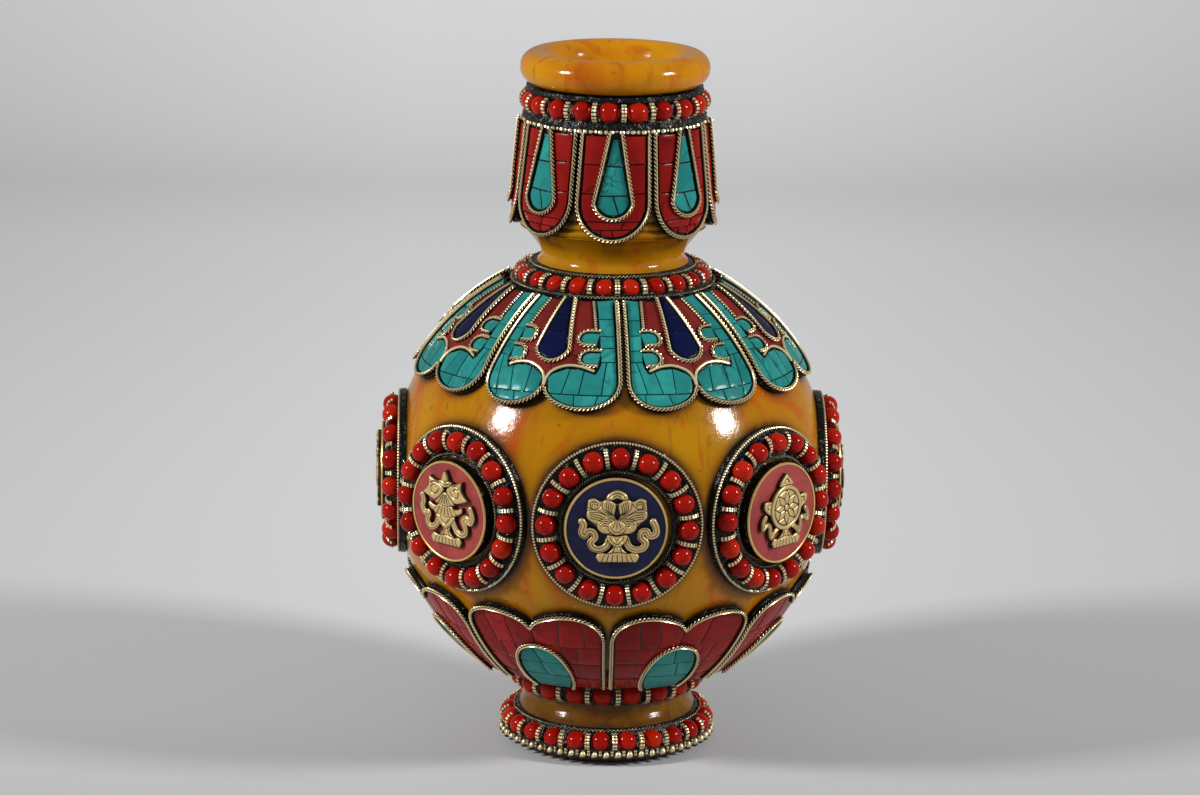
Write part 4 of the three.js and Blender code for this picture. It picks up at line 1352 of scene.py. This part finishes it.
def draw_parasol(relief):
    """A parasol of two skirts, with scrolls beside its top and a jewel."""
    left = [(-2.4, -2.0), (-3.9, -4.4), (-6.0, -5.1), (-7.2, -3.6), (-6.7, -1.4), (-8.3, -1.4), (-9.2, 0.4),
            (-8.8, 2.0), (-9.3, 3.4)]
    draw_stand(relief, [(2.6, -2.0), *SIDE_RIBBON[1:]], left)
    relief.shape(whole([(0.0, -4.7), (2.6, -3.0), (3.4, -0.6)]), 0.15, 0.4)
    relief.line([(-1.8, -1.6), (0, -3.3), (1.8, -1.6)])
    tail = [(2.6, 1.2), (4.6, 1.5), (6.3, 2.2), (6.6, 1.0), (5.0, -0.1), (3.0, -0.4)]
    for side in (-1, 1):
        relief.shape(sided(tail, side), 0.15, 0.36)
    relief.shape(whole([(0, 2.9), (2.4, 2.4), (4.6, -0.4), (4.6, -0.4), (2.2, -1.1), (0, -1.3)]), 0.25, 0.4)
    relief.shape(whole([(0, 5.8), (1.0, 5.4), (3.9, 2.6), (3.9, 2.6), (1.8, 2.0), (0, 1.8)]), 0.4, 0.4)
    for x in (-2.4, -1.2, 0.0, 1.2, 2.4):
        relief.line([(0.3 * x, 5.0), (x, 2.4)])
        relief.line([(0.8 * x, 1.5), (1.3 * x, -0.7)])
    scroll = [(0.6, 6.8), (2.6, 8.4), (4.2, 8.8), (6.4, 9.7), (6.4, 9.7), (6.3, 7.4), (7.2, 6.0), (8.9, 4.6),
              (8.9, 4.6), (6.6, 3.7), (4.2, 3.1), (2.6, 3.9), (1.0, 5.6)]
    curl = [(2.2, 6.4), (3.4, 5.0), (5.0, 5.0), (5.4, 6.6), (4.2, 7.3), (3.4, 6.6)]
    for side in (1, -1):
        relief.shape(sided(scroll, side), 0.3, 0.45)
        relief.line(sided(curl, side))
        relief.line(sided([(2.6, 8.0), (4.6, 8.3), (5.7, 7.4)], side))
    jewel = [(0, 12.1), (0, 12.1), (0.9, 10.7), (1.5, 9.3), (2.7, 8.7), (1.4, 7.6), (0, 7.2)]
    relief.shape(whole(jewel), 0.45, 0.45)
    relief.line([(-1.4, 9.4), (0, 8.8), (1.4, 9.4)])
    relief.line([(-2.0, 8.6), (0, 7.9), (2.0, 8.6)])


def draw_wheel(relief):
    """The wheel: eight spokes that each part in two, a rim, a loop of ribbon on each side and a jewel."""
    centre = (EMBLEM_MIDDLE, 1.8)
    right = [(2.6, -3.4), (4.6, -4.6), (6.0, -6.0), (6.6, -4.4), (6.9, -2.6), (8.2, -2.2), (9.6, -3.0),
             (9.6, -1.2), (8.7, 0.2)]
    draw_stand(relief, right, mirror(right, EMBLEM_MIDDLE), 0.75)
    loop = [(5.6, 3.8), (7.4, 4.6), (9.2, 4.4), (9.2, 2.6), (7.6, 1.0), (6.2, 0.6)]
    for side in (1, -1):
        relief.shape(sided(loop, side, EMBLEM_MIDDLE), 0.0, 0.4)
        relief.line(sided([(6.8, 3.6), (8.0, 3.3), (7.6, 2.1)], side, EMBLEM_MIDDLE))
    jewel = [(0.2, 11.6), (0.2, 11.6), (1.6, 10.4), (2.8, 9.0), (2.6, 8.0)]
    relief.shape(whole(jewel, EMBLEM_MIDDLE), 0.1, 0.45)
    relief.line([(-1.0, 8.8), (0.2, 9.9), (1.4, 8.8)])
    relief.shape(ring_points(6.45, centre)[:-1], 0.25, 0.45, 0.6)
    for radius in (5.1, 1.0):
        relief.line(ring_points(radius, centre), 0.2)
    for spoke in range(8):
        def at(radius, turn):
            angle = math.radians(spoke * 45 + 22.5 + turn)
            return centre[0] + radius * math.cos(angle), centre[1] + radius * math.sin(angle)
        for end in (at(1.0, 0), at(5.0, 22.5), at(5.0, -22.5)):
            relief.line([at(2.9, 0), end], 0.16, raw=True)


def draw_knot(relief):
    """The endless knot: bands that cross over and under each other."""
    draw_stand(relief)
    middle, half_pitch = 2.4, 1.725

    def diamond(u, v):
        return (u - v) * half_pitch, middle + (u + v) * half_pitch

    def strap(corners, lift=0.1, side=1):
        relief.ribbon(sided([diamond(u, v) for u, v in corners], side), 0.62, lift, 0.38, creases=())
    for level in (-1, 0, 1):
        strap([(level, -2.1), (level, 2.1)])
        strap([(-2.1, level), (2.1, level)])
    for side in (1, -1):
        for low in (-1, 0):
            strap([(low, 2.0), (low + 0.2, 2.75), (low + 0.8, 2.75), (low + 1, 2.0)], side=side)
            strap([(-2.0, low), (-2.75, low + 0.2), (-2.75, low + 0.8), (-2.0, low + 1)], side=side)
    for u in (-1, 0, 1):
        for v in (-1, 0, 1):
            du, dv = (0.34, 0) if (u + v) % 2 else (0, 0.34)
            strap([(u - du, v - dv), (u + du, v + dv)], lift=0.22)


def draw_conch(relief):
    """A conch that stands on its tip, with its mouth to the right and its whorls above."""
    draw_stand(relief)
    relief.shape([(-1.4, -4.4), (1.6, -4.0), (4.4, -1.0), (5.4, 2.8), (4.4, 6.2), (2.2, 8.4), (0.4, 10.8),
                  (-0.4, 11.2), (-1.4, 9.2), (-3.8, 6.4), (-5.0, 3.0), (-4.4, -0.8)], 0.1, 0.6, 1.6)
    relief.shape([(0.4, -3.4), (3.0, -1.2), (3.8, 2.0), (2.8, 4.6), (1.0, 3.2), (0.2, 0.2)], 0.5, 0.4)
    relief.line([(1.4, -1.8), (2.4, 0.6), (2.2, 3.0)])
    for height, reach in ((4.6, 4.4), (6.4, 3.4), (8.0, 2.3), (9.4, 1.3)):
        relief.line([(-reach, height - 0.4), (0, height + 0.5), (reach * 0.9, height - 0.2)])
    for x in (-3.4, -2.3, -1.2):
        relief.line([(x, 3.6), (x - 0.3, 0.6), (x + 0.8, -2.6)])


def draw_fish(relief):
    """Two fish that face each other, nose down, with their tails crossed above."""
    draw_stand(relief)
    tail = [(-0.6, 8.6), (-2.0, 10.9), (-2.0, 10.9), (0.4, 10.2), (2.4, 11.0), (2.4, 11.0), (1.8, 8.4)]
    body = [(1.0, 8.8), (3.2, 6.6), (5.0, 3.4), (5.2, 0.2), (3.8, -2.8), (1.8, -4.2), (0.6, -2.6),
            (0.6, 0.4), (0.4, 4.0), (-0.6, 8.0)]
    for side in (1, -1):
        relief.shape(sided(tail, side), 0.1, 0.4)
        relief.shape(sided(body, side), 0.2, 0.5, 1.0)
        relief.shape(sided([(4.4, 4.6), (6.4, 4.2), (7.2, 2.0), (5.2, 1.6)], side), 0.1, 0.36)
        relief.line(sided([(1.0, -1.2), (2.8, -0.6), (4.6, -1.4)], side))
        relief.line(ring_points(0.45, (side * 2.6, -2.2)), 0.17)
        for row in range(4):
            height, inner = 0.8 + 1.6 * row, 3.2 - 0.3 * row
            scale = [(1.2 - 0.2 * row, height), (2.2 - 0.2 * row, height - 0.8), (inner, height)]
            relief.line(sided(scale, side))
            scale = [(inner, height), (inner + 0.7, height - 0.6), (4.6 - 0.5 * row, height)]
            relief.line(sided(scale, side))


def draw_banner(relief):
    """The victory banner: three skirted tiers under a roof and a finial."""
    draw_stand(relief)
    for low, high, wide in ((-4.2, -1.0, 3.6), (-1.4, 2.6, 4.4), (2.2, 6.4, 5.0)):
        corner, hem = (wide, high), (wide - 0.7, low)
        lift = 0.15 if high < 0 else 0.21
        relief.shape(whole([corner, corner, hem, hem, (0, low - 0.6)]), lift, 0.45)
        for step in range(-2, 3):
            relief.line([(step * wide * 0.36, high - 1.0), (step * wide * 0.34, low + 0.2)])
        relief.line([(0.5 - wide, high - 0.9), (0, high - 1.3), (wide - 0.5, high - 0.9)])
    relief.shape(whole([(0, 9.2), (3.2, 8.4), (5.6, 6.2), (5.6, 6.2), (0, 5.6)]), 0.4, 0.45)
    relief.line([(-3.6, 7.4), (0, 8.2), (3.6, 7.4)])
    relief.shape(whole([(0, 12.0), (0, 12.0), (1.2, 10.2), (1.6, 8.8)]), 0.5, 0.4)
    relief.line([(-1.0, 9.8), (0, 9.4), (1.0, 9.8)])


def draw_vase(relief):
    """The treasure vase: round belly, scarf at the neck, flared mouth and jewel."""
    draw_stand(relief)
    relief.shape(whole([(2.4, -4.6), (5.4, -2.2), (6.2, 1.0), (4.8, 3.8), (2.2, 5.2)]), 0.2, 0.6, 1.6)
    relief.line([(-5.4, 2.2), (0, 3.4), (5.4, 2.2)])
    for step in range(-2, 3):
        x = 2.0 * step
        left = (x - 0.9, -0.2)
        relief.line([left, (x, -3.2 + 0.2 * abs(step)), (x + 0.9, -0.2), (x, 0.9), left])
    relief.shape(whole([(2.6, 6.4), (3.6, 5.6), (2.6, 4.8)]), 0.5, 0.4)
    relief.shape(whole([(3.6, 8.6), (3.6, 8.6), (1.8, 7.2), (2.0, 6.2)]), 0.3, 0.45)
    relief.line([(-2.4, 8.0), (0, 7.7), (2.4, 8.0)])
    relief.shape(whole([(0, 12.1), (0, 12.1), (0.9, 11.0), (1.9, 9.9), (1.7, 8.7)]), 0.4, 0.45)
    relief.line([(-0.8, 9.4), (0, 10.6), (0.8, 9.4)])


EMBLEMS = {
    "lotus": draw_lotus, "wheel": draw_wheel, "knot": draw_knot, "conch": draw_conch,
    "fish": draw_fish, "banner": draw_banner, "vase": draw_vase, "parasol": draw_parasol,
}


# Medallions

def dish_back(radius):
    """Depth of a dish's back at a radius, just clear of the round globe."""
    return math.sqrt(GLOBE_RADIUS ** 2 - radius ** 2) + 0.35


def add_dish_spacer(pile, place, outward, angle, level):
    """Two beaded loops that stand side by side between two beads, square to the string."""
    arch = np.radians(np.linspace(-82, 82, 22))
    along = MEDALLION_RING + 2.8 * np.sin(arch)
    height = level - 0.6 + 2.2 * np.cos(arch)
    for side in (-0.27, 0.27):
        x = along * math.cos(angle) - side * math.sin(angle)
        y = along * math.sin(angle) + side * math.cos(angle)
        path = place(np.column_stack([x, y, height]))
        lay_wire(pile, path, outward, 2, 0.33, kind="dots", pitch=0.9)


def build_dish(number, azimuth):
    """A black lac ring on the globe, with a string of beads and a wire along each of its edges."""
    place, outward = medallion_sheet(azimuth), facing(azimuth)
    pile = Pile()
    rim, inner = MEDALLION_RADIUS - 0.1, PLAQUE_RADIUS + 0.4
    trough, low, high = rim - 4.2, dish_back(rim), dish_back(inner)
    profile = [(radius, dish_back(radius)) for radius in (inner, (inner + rim) / 2, rim)]
    profile += [(rim, low + 1.4), (rim - 0.8, low + 2.0), (rim - 2.2, low + 2.1)]
    profile += [(trough, dish_back(trough) + 0.7), (inner + 2.0, high + 0.7), (inner, high + 1.3)]
    add_solid(pile, lathe(profile, 96), place)
    size = (2 * math.pi * MEDALLION_RING / MEDALLION_BEADS - 1.3 * SPACER_ROOM) / 2
    start = MEDALLION_START + random.uniform(-2, 2)
    level = dish_back(MEDALLION_RING) + size - 0.5
    for i in range(MEDALLION_BEADS):
        angle = math.radians(start + (i + random.uniform(-0.03, 0.03)) * 360 / MEDALLION_BEADS)
        radius = MEDALLION_RING + random.uniform(-0.2, 0.2)
        x, y = radius * math.cos(angle), radius * math.sin(angle)
        centre, ahead = place([(x, y, level), (x - math.sin(angle), y + math.cos(angle), level)])
        add_bead(pile, centre, ahead - centre, outward(centre[None])[0], size, 1)
        between = math.radians(start + (i + 0.5) * 360 / MEDALLION_BEADS)
        add_dish_spacer(pile, place, outward, between, level)
    outer_ring, inner_ring = circle(rim - 0.42), circle(inner + 0.8)
    add_wire(pile, outer_ring, low + 2.0, place, outward, 2, 0.38, kind="dots", pitch=0.88, closed=True)
    add_wire(pile, inner_ring, high + 1.3, place, outward, 2, 0.34, 0.55, kind="rope", pitch=0.9, closed=True)
    name = f"medallion_{number}_bead_dish"
    pile.piece(name + "_beads", [LAC, BEAD, WIRE_BRASS], "black_lac", [name])


def plaque_sheet(number, azimuth):
    """A medallion's sheet; the front plaque was set a little off the middle of its dish."""
    place = medallion_sheet(azimuth)
    if number > 1:
        return place
    return lambda points: place(np.asarray(points, float) + FRONT_SHIFT)


def build_plaque(number, azimuth, face_material):
    """A drum with a black lac wall and a bright turned rim round the enamel."""
    place = plaque_sheet(number, azimuth)
    depth = GLOBE_RADIUS + PLAQUE_RISE
    edge, inner = PLAQUE_RADIUS - 0.2, PLAQUE_RADIUS - 0.85
    pile = Pile()
    wall = [(0, dish_back(0)), (edge - 0.2, dish_back(edge)), (edge - 0.15, depth - 0.55), (0, depth - 0.55)]
    add_solid(pile, lathe(wall, 120), place, 2)
    rim = [(inner, depth - 0.55), (edge - 0.12, depth - 0.55), (edge, depth - 0.3),
           (edge - 0.2, depth + 0.08), (inner + 0.18, depth + 0.1), (inner, depth - 0.02)]
    add_solid(pile, lathe(rim, 120), place, 0, 1.0)
    disc = [(0, depth - 0.5), (inner - 0.02, depth - 0.5), (inner - 0.05, depth - 0.14), (0, depth - 0.1)]
    add_solid(pile, lathe(disc, 96), place, 1)
    name = f"medallion_{number}_plaque"
    pile.piece(name + "_face", [GILT, face_material, LAC], "enamel", [name])


def build_emblem(number, azimuth, symbol):
    relief = Relief()
    EMBLEMS[symbol](relief)
    back, level = GLOBE_RADIUS + PLAQUE_RISE - 0.15, GLOBE_RADIUS + EMBLEM_RISE
    vertices, faces, tones = relief.mesh(back, level)
    pile = Pile()
    pile.add(plaque_sheet(number, azimuth)(vertices), faces, tones)
    name = f"medallion_{number}_{symbol}"
    pile.piece(name + "_relief", [CAST_BRASS], "cast_brass", [name], crease=75)


def build_medallions():
    for number, symbol in enumerate(EMBLEMS, 1):
        azimuth = MEDALLION_TURN + (number - 1) * 360 / COPIES
        build_dish(number, azimuth)
        build_plaque(number, azimuth, BLUE_ENAMEL if number % 2 else RED_ENAMEL)
        build_emblem(number, azimuth, symbol)


build_base_plate()
build_foot()
build_globe()
build_neck()
build_lip()
for band in BANDS:
    build_band(band)
build_granule_wire()
build_panels()
build_lappets()
build_petals()
build_medallions()


# Camera, lights and stage, in metres: the two softboxes' places and powers, their size, the even
# light all round, and the floor's front edge, bend, radius of the bend, its end in degrees and half width

SOFTBOXES = {"left_softbox": ((-0.99, -0.43, 0.68), 15), "right_softbox": ((1.04, -0.36, 0.66), 14)}
SOFTBOX_SIZE = 0.22
WORLD_STRENGTH = 0.27
FLOOR_FRONT, FLOOR_BEND, BEND_RADIUS, BEND_END, FLOOR_HALF = -1.6, 0.9, 0.4, 42, 2.5


def place_camera():
    """The photograph's own view."""
    camera = bpy.data.objects.new("camera", bpy.data.cameras.new("camera"))
    bpy.context.scene.collection.objects.link(camera)
    camera.data.sensor_width = SENSOR_WIDTH
    camera.data.lens = CAMERA_LENS
    back = Vector((0, -math.cos(CAMERA_ELEVATION), math.sin(CAMERA_ELEVATION)))
    turn = (-back).to_track_quat("-Z", "Y").to_matrix().to_4x4()
    turn = turn @ Matrix.Rotation(CAMERA_ROLL, 4, "Z")
    camera.matrix_world = Matrix.Translation(CAMERA_TARGET + back * CAMERA_DISTANCE) @ turn
    bpy.context.scene.camera = camera


def add_softbox(name, position, power):
    """A square lamp that looks at the middle of the vase."""
    light = bpy.data.lights.new(name, "AREA")
    light.shape = "SQUARE"
    light.size = SOFTBOX_SIZE
    light.energy = power
    holder = bpy.data.objects.new(name, light)
    bpy.context.scene.collection.objects.link(holder)
    holder.location = position
    aim = Vector((0, 0, 0.1)) - Vector(position)
    holder.rotation_euler = aim.to_track_quat("-Z", "Y").to_euler()


def light_world():
    """Even white light from all round."""
    world = bpy.data.worlds.new("world")
    bpy.context.scene.world = world
    world.use_nodes = True
    background = world.node_tree.nodes["Background"]
    background.inputs["Color"].default_value = (1, 1, 1, 1)
    background.inputs["Strength"].default_value = WORLD_STRENGTH


def stage_material():
    """A grey with painted light: paler from the vase backwards and darker towards both sides, as a pool of
    light round the vase.
    """
    material, tree, shader = node_material("floor")
    coordinates = tree.nodes.new("ShaderNodeTexCoord")
    split = tree.nodes.new("ShaderNodeSeparateXYZ")
    link(tree, coordinates.outputs["Object"], split.inputs["Vector"])
    deep = split.outputs["Y"]
    # Painted light: the grey is darker towards the front and towards both sides, as a pool of light round the
    # vase.
    back = math_node(tree, "ADD", math_node(tree, "MULTIPLY", deep, 0.75, clamp=False), 0.06)
    painted_falloff_greys = [(0, (0.4, 0.4, 0.405)), (0.07, (0.53, 0.53, 0.535)), (0.62, (0.88, 0.885, 0.895))]
    reach = math_node(tree, "ADD", math_node(tree, "MULTIPLY", deep, 0.5, clamp=False), 0.42)
    shifted = math_node(tree, "ADD", split.outputs["X"], 0.015, clamp=False)
    across = math_node(tree, "ABSOLUTE", shifted, 0)
    painted_side_shade = ramp(tree, math_node(tree, "DIVIDE", across, reach), [(0.1, 0.0), (0.5, 0.42)])
    shade = mix(tree, painted_side_shade, ramp(tree, back, painted_falloff_greys), (0.3, 0.3, 0.31))
    link(tree, shade, shader.inputs["Base Color"])
    shader.inputs["Roughness"].default_value = 0.7
    return material


def build_stage():
    """A floor that curves up at the back, but no higher than needed, so that views from behind stay clear."""
    profile = [(FLOOR_FRONT, 0.0)]
    for angle in np.radians(np.linspace(0, BEND_END, 8)).tolist():
        profile.append((FLOOR_BEND + BEND_RADIUS * math.sin(angle), BEND_RADIUS * (1 - math.cos(angle))))
    vertices = [(side * FLOOR_HALF, y, z) for y, z in profile for side in (-1, 1)]
    faces = [(2 * i, 2 * i + 1, 2 * i + 3, 2 * i + 2) for i in range(len(profile) - 1)]
    mesh = bpy.data.meshes.new("floor")
    mesh.from_pydata(vertices, [], faces)
    floor = bpy.data.objects.new("floor", mesh)
    bpy.context.scene.collection.objects.link(floor)
    for polygon in mesh.polygons:
        polygon.use_smooth = True
    mesh.materials.append(stage_material())


place_camera()
build_stage()
for name, (position, power) in SOFTBOXES.items():
    add_softbox(name, position, power)
light_world()
bpy.context.scene.view_settings.view_transform = "Standard"
